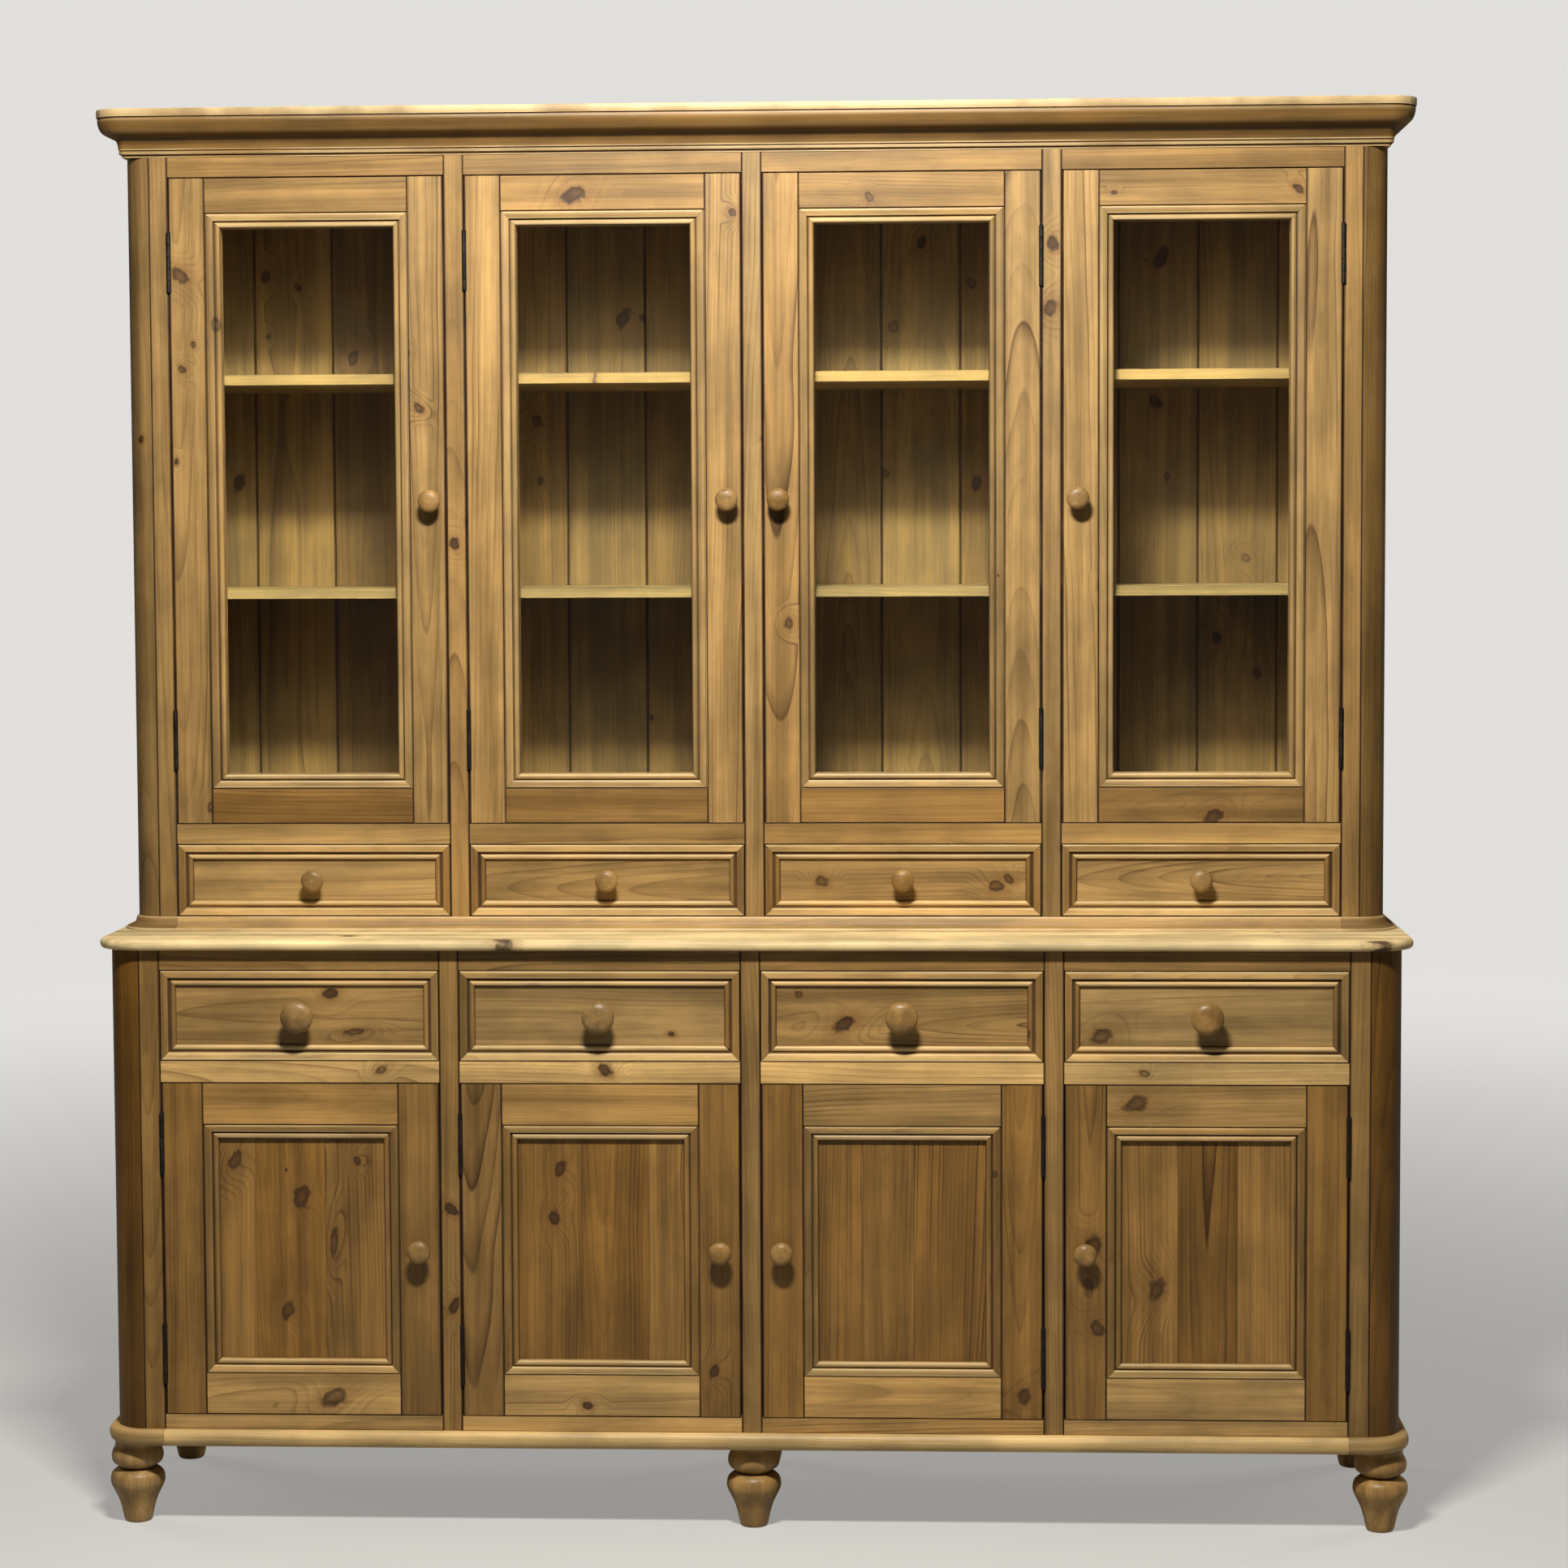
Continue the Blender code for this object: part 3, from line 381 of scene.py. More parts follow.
def build_pine_figure():
    """Rings, fibres and knots from a board's own coordinates."""
    tree, given, sent = start_group(
        "pine_figure",
        (("Ring Spacing", "Float", SPACING), ("Wander", "Float", WANDER),
         ("Knot Chance", "Float", KNOT_CHANCE)),
        [(name, "Float") for name in ("Rings", "Streaks", "Fibres", "Knot", "Knot Rim", "Resin", "Patches")])
    along, across, depth = read(tree, "grain")
    heart_across, heart_depth, lean = read(tree, "log")
    board = read(tree, "board")[0]

    def noise(scale_along, scale_across, detail, offset=0.0):
        """Noise stretched along the board, different on each board."""
        shift = sums(tree, "MULTIPLY_ADD", board, BOARD_STEP, offset)
        parts = {0: sums(tree, "MULTIPLY_ADD", along, scale_along, shift),
                 1: sums(tree, "MULTIPLY_ADD", across, scale_across, board),
                 2: times(tree, depth, scale_across)}
        spot = wire(tree, "CombineXYZ", parts).outputs[0]
        return wire(tree, "TexNoise", {"Vector": spot, "Scale": 1.0, "Detail": detail,
                                       "Roughness": NOISE_ROUGHNESS}).outputs

    drift = wire(tree, "SeparateColor", {0: noise(*NOISES["drift"])["Color"]}).outputs
    rough_edge = noise(*NOISES["edge"])["Fac"]
    spot = wire(tree, "CombineXYZ", {0: sums(tree, "MULTIPLY_ADD", along, CELL_STRETCH, board),
                                     1: sums(tree, "MULTIPLY_ADD", board, CELL_STEP, across)}).outputs[0]
    cells = wire(tree, "TexVoronoi", {"Vector": spot, "Scale": CELL_SCALE, "Randomness": 1.0},
                 voronoi_dimensions="2D")
    luck = wire(tree, "SeparateColor", {0: cells.outputs["Color"]}).outputs[0]
    unlucky = sums(tree, "SUBTRACT", 1.0, given["Knot Chance"])
    size = ease_between(tree, luck, unlucky, 1.0, 0.0, RANDOM_KNOT_SIZE)
    size = sums(tree, "MAXIMUM", size, LEAST_RANDOM_SIZE)
    scattered = sums(tree, "DIVIDE", cells.outputs["Distance"], size)
    nearest = sums(tree, "MINIMUM", knot_nearness(tree, "knot_a", along, across),
                   knot_nearness(tree, "knot_b", along, across))
    nearest = sums(tree, "MINIMUM", nearest, scattered)
    push = ease_between(tree, nearest, 0.0, PUSH_REACH, RING_PUSH, 0.0)
    nearest = times(tree, nearest, sums(tree, "MULTIPLY_ADD", rough_edge, EDGE_RAGGEDNESS, EDGE_LEAST))

    def wandering(value, number):
        """The value, pushed a little to and fro by one of the drifts."""
        drifted = times(tree, sums(tree, "SUBTRACT", drift[number], 0.5), given["Wander"])
        return sums(tree, "ADD", value, drifted)

    side = wandering(sums(tree, "SUBTRACT", across, heart_across), 0)
    into = sums(tree, "ADD", sums(tree, "SUBTRACT", depth, heart_depth), times(tree, lean, along))
    into = wandering(into, 1)
    from_heart = sums(tree, "ADD", length_of(tree, side, into), push)
    years = sums(tree, "DIVIDE", from_heart, given["Ring Spacing"])
    years = sums(tree, "ADD", years, times(tree, drift[2], YEARS_OF_DRIFT))
    ramp = wire(tree, "ValToRGB", {0: sums(tree, "FRACT", years)})
    stops = ramp.color_ramp.elements
    stops[0].position = RING_RAMP[0][0]
    stops[1].position = RING_RAMP[-1][0]
    for place, _ in RING_RAMP[1:-1]:
        stops.new(place)
    for stop, (_, value) in zip(stops, RING_RAMP):
        stop.color = (value, value, value, 1.0)
    year = sums(tree, "ADD", sums(tree, "FLOOR", years), board)
    strength = wire(tree, "TexWhiteNoise", {"W": year}, noise_dimensions="1D").outputs["Value"]
    strength = sums(tree, "MULTIPLY_ADD", sums(tree, "POWER", strength, YEAR_CURVE), YEAR_RANGE, YEAR_LEAST)
    fading = ease_between(tree, noise(*NOISES["fading"])["Fac"], *FADING)
    rings = times(tree, times(tree, ramp.outputs[0], strength), fading)

    tree.links.new(rings, sent["Rings"])
    for name in ("Streaks", "Fibres", "Patches"):
        tree.links.new(noise(*NOISES[name])["Fac"], sent[name])
    for name, edge in (("Knot", KNOT_EDGE), ("Resin", RESIN_EDGE)):
        tree.links.new(ease_between(tree, nearest, *edge, 1.0, 0.0), sent[name])
    rim = ease_between(tree, nearest, *RIM_START)
    tree.links.new(times(tree, rim, ease_between(tree, nearest, *RIM_END, 1.0, 0.0)), sent["Knot Rim"])
    return tree


pine_figure = build_pine_figure()
print("pine_figure:", len(pine_figure.nodes), "nodes")

# %% [markdown]
# Old wax gathers in every groove and joint and goes nearly black, while the crests are rubbed pale by hands
# and dusters. The dark in the grooves also paints the shade that falls in them, and the pale on the crests
# paints the light that catches them. Each point of the joinery knows how proud or how sunk it is, so a second
# group can colour it.

# %% Shader group: wax, wear and painted light
# Painted light: the wax colour darkens grooves for old wax and for the shade in them; the rubbed colour pales
# crests for wear and for the light on them.
RUBBED_AND_HIGHLIGHT_COLOUR = (0.66, 0.49, 0.25)
WAX_AND_SHADE_COLOUR = (0.16, 0.105, 0.060)
WAX_PATCHES = (9.0, 3.0)
SUNK_RANGE, SUNK_PATCHES = (0.03, 0.60), (0.7, 0.62)
PROUD_RANGE, RUBBED_PATCHES = (0.12, 0.95), (0.3, 0.62, 0.35, 1.0)


def build_wax_wear_and_painted_light():
    """Darken what is sunk for dark wax and painted shade, lighten what is proud for rubbed wear and painted
    highlight, and let both fade in and out.
    """
    tree, given, sent = start_group(
        "wax_and_wear",
        (("Colour", "Color", (0.5, 0.3, 0.15, 1.0)), ("Wax", "Float", 1.0), ("Rub", "Float", 0.5)),
        (("Colour", "Color"), ("Wax Mask", "Float")))
    proud = wire(tree, "Attribute", attribute_name="wear").outputs["Fac"]
    patchy = object_noise(tree, *WAX_PATCHES)
    sunk = ease_between(tree, times(tree, proud, -1.0), *SUNK_RANGE)
    sunk = times(tree, sunk, sums(tree, "MULTIPLY_ADD", patchy, *SUNK_PATCHES))
    sunk = sums(tree, "MINIMUM", times(tree, sunk, given["Wax"]), 1.0)
    rubbed = ease_between(tree, proud, *PROUD_RANGE)
    rubbed = times(tree, rubbed, ease_between(tree, patchy, *RUBBED_PATCHES))
    rubbed = times(tree, rubbed, given["Rub"])
    pale = blend_colours(tree, rubbed, given["Colour"], RUBBED_AND_HIGHLIGHT_COLOUR)
    dark = blend_colours(tree, 1.0, pale, WAX_AND_SHADE_COLOUR, "MULTIPLY")
    tree.links.new(blend_colours(tree, sunk, pale, dark), sent["Colour"])
    tree.links.new(sunk, sent["Wax Mask"])
    return tree


wax_and_wear = build_wax_wear_and_painted_light()
print("wax_and_wear:", len(wax_and_wear.nodes), "nodes")

# %% [markdown]
# All the pine here is one wood with different finishes: waxed outside, dull and unwaxed inside, bare and
# scrubbed on the counter, where it is kept paler still as a painted highlight, and close-grained on the
# turned knobs and feet. One function makes each of them.

# %% Pine finishes
PINE_SHEEN = 0.34
KNOT_RIM = (0.020, 0.010, 0.004)
KNOT_HEART = (0.056, 0.024, 0.008)
RESIN_COLOUR = (0.190, 0.088, 0.024)
RESIN_STRENGTH = 0.60
RIM_STRENGTH = 0.55
GREEN_WARMTH, BLUE_WARMTH = 0.07, 0.20
WAX_DULLNESS = 0.25
STREAK_LIGHT = (0.30, 0.70, 0.70, 1.20)
FIBRE_LIGHT = (0.25, 0.75, 0.88, 1.09)
PATCH_LIGHT = (0.34, 0.66, 0.80, 1.16)
KNOT_UNEVEN = (0.35, 0.60, 0.45, 0.92)
GLOSS_MORE, GLOSS_LESS = 0.06, 0.08
FIBRE_HEIGHT, RING_HEIGHT, KNOT_HEIGHT = 0.45, 0.5, 0.5
PINE_RELIEF = (0.35, 0.0006)


def make_pine(name, early, late, rub, chance, figure=1.0, wax=1.0, roughness=0.44, spacing=SPACING):
    """One finish of pine."""
    material, tree, shader = start_material(name)
    masks = wire(tree, "Group", {"Ring Spacing": spacing, "Knot Chance": chance},
                 node_tree=pine_figure).outputs
    brightness, warmth, contrast = read(tree, "tone")
    ring = times(tree, masks["Rings"], times(tree, contrast, figure))
    colour = blend_colours(tree, ring, early, late)
    streak = ease_between(tree, masks["Streaks"], *STREAK_LIGHT)
    fibre = ease_between(tree, masks["Fibres"], *FIBRE_LIGHT)
    patch = ease_between(tree, masks["Patches"], *PATCH_LIGHT)
    light = times(tree, times(tree, streak, fibre), times(tree, patch, brightness))
    channels = {0: light}
    for channel, strength in ((1, GREEN_WARMTH), (2, BLUE_WARMTH)):
        kept = sums(tree, "SUBTRACT", 1.0, times(tree, warmth, strength))
        channels[channel] = times(tree, light, kept)
    colour = blend_colours(tree, 1.0, colour, wire(tree, "CombineColor", channels).outputs[0], "MULTIPLY")
    uneven = ease_between(tree, masks["Patches"], *KNOT_UNEVEN)
    resin = times(tree, masks["Resin"], times(tree, uneven, RESIN_STRENGTH))
    colour = blend_colours(tree, resin, colour, RESIN_COLOUR)
    colour = blend_colours(tree, times(tree, masks["Knot"], uneven), colour, KNOT_HEART)
    colour = blend_colours(tree, times(tree, masks["Knot Rim"], RIM_STRENGTH), colour, KNOT_RIM)
    # Grooves are darkened for dark wax and painted shade, and crests are paled for rubbed wear and painted
    # highlight.
    finish = wire(tree, "Group", {"Colour": colour, "Wax": wax, "Rub": rub}, node_tree=wax_and_wear).outputs
    gloss = ease_between(tree, masks["Streaks"], 0.2, 0.8, roughness - GLOSS_MORE, roughness + GLOSS_LESS)
    gloss = sums(tree, "MULTIPLY_ADD", finish["Wax Mask"], WAX_DULLNESS, gloss)
    height = times(tree, masks["Rings"], RING_HEIGHT)
    height = sums(tree, "MULTIPLY_ADD", masks["Fibres"], FIBRE_HEIGHT, height)
    height = sums(tree, "SUBTRACT", height, times(tree, masks["Knot"], KNOT_HEIGHT))
    feed(tree, shader, {"Specular IOR Level": PINE_SHEEN, "Base Color": finish["Colour"], "Roughness": gloss,
                        "Normal": bump(tree, *PINE_RELIEF, height)})
    return material


case_pine = make_pine("waxed_pine", (0.415, 0.245, 0.080), (0.125, 0.057, 0.015), rub=0.35, chance=0.16)
front_pine = make_pine("front_pine", (0.435, 0.257, 0.084), (0.130, 0.060, 0.016), rub=0.35, chance=0.14)
moulding_pine = make_pine("moulding_pine", (0.430, 0.262, 0.092), (0.240, 0.125, 0.036), figure=0.7,
                          wax=0.85, rub=0.90, spacing=0.0035, chance=0.08)
inside_pine = make_pine("inside_pine", (0.215, 0.130, 0.037), (0.090, 0.046, 0.012), wax=0.9, rub=0.10,
                        roughness=0.62, chance=0.30)
turned_pine = make_pine("turned_pine", (0.410, 0.252, 0.092), (0.260, 0.138, 0.044), wax=0.75, rub=0.25,
                        roughness=0.40, spacing=0.0034, chance=0.0)
# Bare pine is pale for scrubbed wood and for a painted highlight on the counter's level top.
bare_pine = make_pine("bare_pine", (0.600, 0.450, 0.220), (0.340, 0.205, 0.085), wax=0.6, rub=0.25,
                      roughness=0.56, chance=0.22)
print("pine finishes:", 6)

# %% [markdown]
# The hinges are dark, oily iron that has gone brown in places. The panes are old thin glass, very slightly
# wavy. Light has to reach the shelves through them, so a shadow ray passes straight through the glass.

# %% Iron and glass
DARK_IRON = (0.012, 0.011, 0.010)
BROWN_IRON = (0.030, 0.018, 0.012)
IRON_METAL = 0.55
GLASS_COLOUR = (0.96, 0.98, 0.96, 1.0)
GLASS_SHADOW = (0.90, 0.92, 0.89, 1.0)
GLASS_ROUGHNESS = 0.02
GLASS_IOR = 1.35
IRON_BLOOM, GLASS_RIPPLE = (70.0, 4.0), (3.2, 1.0)
IRON_RELIEF, GLASS_RELIEF = (0.3, 0.0002), (0.10, 0.004)
RUSTY_RANGE = (0.48, 0.68)
IRON_ROUGHNESS = (0.3, 0.7, 0.38, 0.68)


def make_iron():
    """Dark hinge iron with a brown bloom."""
    material, tree, shader = start_material("hinge_iron")
    bloom = object_noise(tree, *IRON_BLOOM)
    rusty = ease_between(tree, bloom, *RUSTY_RANGE)
    feed(tree, shader, {"Base Color": blend_colours(tree, rusty, DARK_IRON, BROWN_IRON),
                        "Roughness": ease_between(tree, bloom, *IRON_ROUGHNESS),
                        "Metallic": IRON_METAL, "Normal": bump(tree, *IRON_RELIEF, bloom)})
    return material


def make_glass():
    """Thin window glass that lets shadow rays through."""
    material, tree, shader = start_material("window_glass")
    ripple = object_noise(tree, *GLASS_RIPPLE)
    feed(tree, shader, {"Base Color": GLASS_COLOUR, "Roughness": GLASS_ROUGHNESS, "IOR": GLASS_IOR,
                        "Transmission Weight": 1.0, "Normal": bump(tree, *GLASS_RELIEF, ripple)})
    clear = wire(tree, "BsdfTransparent", {"Color": GLASS_SHADOW})
    shadow = wire(tree, "LightPath").outputs["Is Shadow Ray"]
    mixed = wire(tree, "MixShader", {0: shadow, 1: shader.outputs[0], 2: clear.outputs[0]})
    tree.links.new(mixed.outputs[0], tree.nodes["Material Output"].inputs["Surface"])
    return material


iron = make_iron()
glass = make_glass()
for bay in BAYS:
    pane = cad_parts["upper_door_%d_glass" % bay]
    pane.data.materials.clear()
    pane.data.materials.append(glass)
print("iron and glass ready; panes:", len(BAYS))

# %% [markdown]
# Every board is cut, its arrises are eased, and then it is seasoned: it gets its place in a log, its tone,
# and up to two knots where the photograph shows them. A board's name seeds its draw, so it never changes.
# A knot is written as the pixel where it is seen, and its radius in metres. Below 0, it is a long slit.

# %% Boards
AXES = {"x": Vector((1, 0, 0)), "y": Vector((0, 1, 0)), "z": Vector((0, 0, 1))}
NO_KNOT = (50.0, 50.0, 0.001)
SHARP_ANGLE = math.radians(32)
AGED_WARMTH = 2.4
NEAR_HEART, FAR_HEART, HEART_DEPTH, LEAN = 0.02, (0.05, 0.11), (0.022, 0.085), 0.06
TONE_RANGE, WARMTH_RANGE, FIGURE_RANGE = (0.90, 1.09), (-0.5, 0.7), (0.60, 1.15)
BOARD_NUMBERS = 60
HEARTS = {
    "upper_drawer_4_front": (0.004, 0.024, 0.085), "lower_drawer_3_front": (-0.012, 0.028, 0.070),
    "lower_door_3_panel_1": (0.000, 0.022, 0.035), "lower_door_4_panel_1": (0.004, 0.024, 0.030),
    "lower_door_4_stile_0": (0.003, 0.022, 0.030), "upper_door_1_stile_1": (-0.004, 0.024, 0.020),
}
FIGURES = {
    "lower_door_1_panel_1": 0.6, "lower_door_2_panel_1": 1.7, "lower_door_3_panel_1": 1.5,
    "lower_door_4_panel_1": 1.7, "lower_door_4_stile_0": 1.9, "lower_door_4_rail_1": 1.8,
    "lower_door_1_panel_2": 1.7, "upper_door_1_stile_1": 2.1, "upper_door_2_stile_0": 1.7,
    "upper_door_3_stile_0": 1.6, "upper_door_4_stile_1": 1.6, "upper_drawer_4_front": 1.9,
    "lower_drawer_3_front": 1.7, "upper_drawer_2_front": 0.8,
}
FLAT_SAWN = {"lower_door_1_panel_1": 0.0, "lower_door_2_panel_1": 1.0, "lower_door_3_panel_1": 1.0,
             "lower_door_4_panel_1": 1.0}
KNOTS = {
    "upper_upright_3": ((1297, 300, 0.009), (1294, 380, 0.010)),
    "lower_upright_1": ((556, 1490, 0.010), (560, 1610, 0.008)),
    "lower_middle_rail_1": ((470, 1318, 0.006),),
    "lower_middle_rail_2": ((745, 1318, 0.010),),
    "lower_middle_rail_4": ((1410, 1323, 0.006),),
    "upper_upright_1": ((560, 670, 0.008),),
    "upper_door_1_stile_0": ((222, 340, 0.012), (224, 455, 0.006)),
    "upper_door_1_stile_1": ((516, 503, 0.007), (502, 437, 0.004)),
    "upper_door_2_rail_1": ((706, 240, 0.013),),
    "upper_door_2_stile_1": ((903, 262, 0.006),),
    "upper_door_3_stile_0": ((972, 768, 0.007),),
    "upper_door_3_rail_1": ((1071, 243, 0.007),),
    "upper_door_4_rail_0": ((1495, 1006, 0.010),),
    "upper_door_4_rail_1": ((1600, 232, 0.007),),
    "lower_door_1_panel_0": ((290, 1430, 0.010),),
    "lower_door_1_panel_1": ((372, 1475, 0.012), (355, 1615, 0.009)),
    "lower_door_1_panel_2": ((440, 1430, 0.006), (412, 1530, -0.0055)),
    "lower_door_1_rail_0": ((412, 1722, 0.014),),
    "lower_door_2_panel_0": ((690, 1440, 0.009),),
    "lower_door_2_stile_1": ((880, 1690, 0.008),),
    "lower_door_3_stile_1": ((1262, 1720, 0.010),),
    "lower_door_4_stile_0": ((1348, 1535, 0.012), (1352, 1637, 0.011)),
    "lower_door_4_panel_0": ((1425, 1590, 0.012),),
    "lower_door_4_rail_1": ((1400, 1360, 0.012),),
    "lower_drawer_1_front": ((407, 1224, 0.009), (437, 1271, -0.005)),
    "lower_drawer_3_front": ((1040, 1262, 0.011), (985, 1225, 0.005)),
    "lower_drawer_4_front": ((1357, 1277, 0.012),),
    "upper_drawer_3_front": ((1012, 1086, 0.008), (1243, 1083, 0.007)),
}


def season(shape, name, places, wear=None, tone=1.0, warmth=0.0, figure=1.0, knots=(), flat_sawn=0.5):
    """Give each vertex its place in the log, given as (along, across, depth), and the board its character."""
    draw = random.Random(name)
    figure, flat_sawn = FIGURES.get(name, figure), FLAT_SAWN.get(name, flat_sawn)
    if draw.random() < flat_sawn:
        heart_across = draw.uniform(-NEAR_HEART, NEAR_HEART)
    else:
        heart_across = draw.choice((-1, 1)) * draw.uniform(*FAR_HEART)
    heart = (heart_across, draw.choice((-1, 1)) * draw.uniform(*HEART_DEPTH), draw.uniform(-LEAN, LEAN))
    warmth += AGED_WARMTH * (1 - tone)
    look = (tone * draw.uniform(*TONE_RANGE), warmth + draw.uniform(*WARMTH_RANGE),
            figure * draw.uniform(*FIGURE_RANGE))
    first_knot, second_knot = (list(knots) + [NO_KNOT, NO_KNOT])[:2]
    number = (draw.uniform(0, BOARD_NUMBERS), 0, 0)
    layers = shape.verts.layers
    grain, sunk = layers.float_vector.new("grain"), layers.float.new("wear")
    character = (("log", HEARTS.get(name, heart)), ("tone", look), ("board", number),
                 ("knot_a", first_knot), ("knot_b", second_knot))
    character = [(layers.float_vector.new(key), value) for key, value in character]
    for index, vertex in enumerate(shape.verts):
        vertex[grain] = places[index] if isinstance(places, list) else places(vertex.co)
        vertex[sunk] = wear[index] if wear else 0.0
        for layer, value in character:
            vertex[layer] = value
    return shape


def in_board(centre, lie):
    """A function that turns a point into its place in a board that lies along and across two axes."""
    along, across = AXES[lie[0]], AXES[lie[1]]
    depth = along.cross(across)

    def place(point):
        """Along, across and depth, from the middle of the board."""
        offset = point - centre
        return offset.dot(along), offset.dot(across), offset.dot(depth)

    return place


def knots_seen(pixels, plane_y, place):
    """Knots given as (pixel x, pixel y, radius in metres), turned into places in a board."""
    found = []
    for pixel_x, pixel_y, radius in pixels:
        along, across, _ = place(seen_at(pixel_x, pixel_y, plane_y))
        found.append((along, across, radius))
    return found


def plank(name, low, high, lie, ease=ARRIS, edge_wear=-0.8, seen=(), **wood):
    """A rectangular board with eased arrises, between two corners."""
    low, high = Vector(low), Vector(high)
    centre, size = (low + high) / 2, high - low
    shape = bmesh.new()
    bmesh.ops.create_cube(shape, size=1)
    for vertex in shape.verts:
        vertex.co = Vector([c + s * v for c, s, v in zip(centre, size, vertex.co)])
    bmesh.ops.bevel(shape, geom=shape.edges[:], offset=ease, segments=2, affect="EDGES", profile=0.5)
    wear = []
    for vertex in shape.verts:
        faces_touched = sum(abs(abs(vertex.co[axis] - centre[axis]) - size[axis] / 2) < ease / 20
                            for axis in range(3))
        wear.append(edge_wear if faces_touched == 0 else 0.0)
    place = in_board(centre, lie)
    knots = knots_seen(seen or KNOTS.get(name, ()), low.y, place)
    return season(shape, name, place, wear, knots=knots, **wood)


def assemble(name, boards, material, body, replaces=(), smooth=False):
    """Join boards into one piece that rides on its body and stands for measured nodes."""
    whole = bmesh.new()
    for board in boards:
        part = bpy.data.meshes.new(name)
        board.to_mesh(part)
        board.free()
        whole.from_mesh(part)
        bpy.data.meshes.remove(part)
    bmesh.ops.recalc_face_normals(whole, faces=whole.faces[:])
    mesh = bpy.data.meshes.new(name)
    whole.to_mesh(mesh)
    whole.free()
    mesh.materials.append(material)
    piece = bpy.data.objects.new(name, mesh)
    bpy.context.scene.collection.objects.link(piece)
    if smooth:
        mesh.shade_smooth()
        mesh.set_sharp_from_angle(angle=SHARP_ANGLE)
    if replaces:
        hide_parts(*replaces)
    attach(piece, body)
    return piece


print("board helpers ready")

# %% [markdown]
# A moulding plane cuts a section made of fillets, hollows and rounds. A section is written the same way: it
# starts at a point and goes on to the next by a straight fillet or by a quarter of an ellipse, which leaves
# either outwards or upwards. How proud each point stands of its neighbours is measured on the section too.

# %% Sections
CURVE_STEPS = 6
PROUD_REACH = 0.0024
PROUD_GAIN = 1.7


def cut_section(steps, width, height):
    """The points of a moulded edge, from its first point and its steps in shares of its width and height."""
    points = [steps[0]]
    for kind, end in steps[1:]:
        begin = points[-1]
        count = 1 if kind == "fillet" else CURVE_STEPS
        for step in range(1, count + 1):
            angle = math.pi / 2 * step / count
            first, second = math.sin(angle), 1 - math.cos(angle)
            if kind == "upwards":
                first, second = second, first
            points.append((begin[0] + (end[0] - begin[0]) * first, begin[1] + (end[1] - begin[1]) * second))
    return [(x * width, y * height) for x, y in points]


def smooth_through(points, steps):
    """A soft curve through points, for turned work."""
    ends = [points[0]] + list(points) + [points[-1]]
    curve = []
    for corners in zip(ends, ends[1:], ends[2:], ends[3:]):
        for step in range(steps):
            t = step / steps
            curve.append(tuple(0.5 * (2 * b + (c - a) * t + (2 * a - 5 * b + 4 * c - d) * t ** 2
                                      + (3 * b - a - 3 * c + d) * t ** 3)
                               for a, b, c, d in zip(*corners)))
    return curve + [tuple(points[-1])]


def section_wear_and_shade(points):
    """How proud each point of a closed section stands: 1 on a crest, -1 in a groove."""
    points = [Vector(point) for point in points]
    count = len(points)
    turn = sum(a.x * b.y - b.x * a.y for a, b in zip(points, points[1:] + points[:1]))

    def walk(index, step):
        """The point reached by going a fixed way along the outline."""
        left, here = PROUD_REACH, points[index]
        for _ in range(count):
            index = (index + step) % count
            length = (points[index] - here).length
            if length >= left:
                return here + (points[index] - here) * (left / length)
            left, here = left - length, points[index]
        return here

    found = []
    for index, point in enumerate(points):
        before, after = walk(index, -1), walk(index, 1)
        chord = after - before
        outward = Vector((chord.y, -chord.x)) * (1 if turn > 0 else -1)
        outward = outward.normalized() if outward.length else Vector((0, 0))
        value = (point - (before + after) / 2).dot(outward) / PROUD_REACH * PROUD_GAIN
        found.append(max(-1.0, min(1.0, value)))
    return found


def loft(loops):
    """Skin loops of points, one after another, and close both ends."""
    shape = bmesh.new()
    rows = [[shape.verts.new(point) for point in loop] for loop in loops]
    for first, second in zip(rows, rows[1:]):
        for index in range(len(first)):
            after = (index + 1) % len(first)
            shape.faces.new((first[index], first[after], second[after], second[index]))
    shape.faces.new(rows[0])
    shape.faces.new(rows[-1])
    return shape


def loft_board(name, loops, places, wear, **wood):
    """A board lofted from loops, whose vertices have their places in the log and their wear."""
    shape = loft(loops)
    season(shape, name, places, list(wear) * len(loops), **wood)
    bmesh.ops.remove_doubles(shape, verts=shape.verts[:], dist=JOINT_GAP / 10)
    return shape


print("section helpers ready")

# %% [markdown]
# The six turned feet carry everything. A foot is one turning: a tapering ankle, a fat bulb, a tight neck and
# a flattened ring under the plinth. The curve is worked out through the measured outline and then spun.

# %% Feet
FOOT_SEGMENTS = 56
FOOT_CURVE_STEPS = 4
FOOT_LOOK = {"warmth": 0.2, "figure": 1.1}
FOOT_SHARES = (
    (0.44, 0.00), (0.475, 0.008), (0.52, 0.04), (0.60, 0.16), (0.71, 0.28), (0.87, 0.39), (0.97, 0.46),
    (0.995, 0.52), (0.95, 0.59), (0.80, 0.64), (0.655, 0.662), (0.655, 0.670), (0.72, 0.69), (0.89, 0.73),
    (0.95, 0.80), (0.91, 0.87), (0.82, 0.93), (0.815, 1.00),
)


def turn(name, profile, segments, place, axis="z", **wood):
    """Spin a (radius, height) profile about its axis; the wood's grain runs along that axis."""
    closed_section = list(profile) + [(0.0, profile[-1][1]), (0.0, profile[0][1])]
    wear = section_wear_and_shade(closed_section)[:len(profile)]
    loops, places, marks = [], [], []
    for (radius, height), proud in zip(profile, wear):
        loops.append([])
        for step in range(segments):
            angle = 2 * math.pi * step / segments
            side, depth = radius * math.cos(angle), radius * math.sin(angle)
            point = (side, depth, height) if axis == "z" else (side, -height, depth)
            loops[-1].append(Vector(place) + Vector(point))
            places.append((height, side, depth))
            marks.append(proud)
    return season(loft(loops), name, places, marks, **wood)


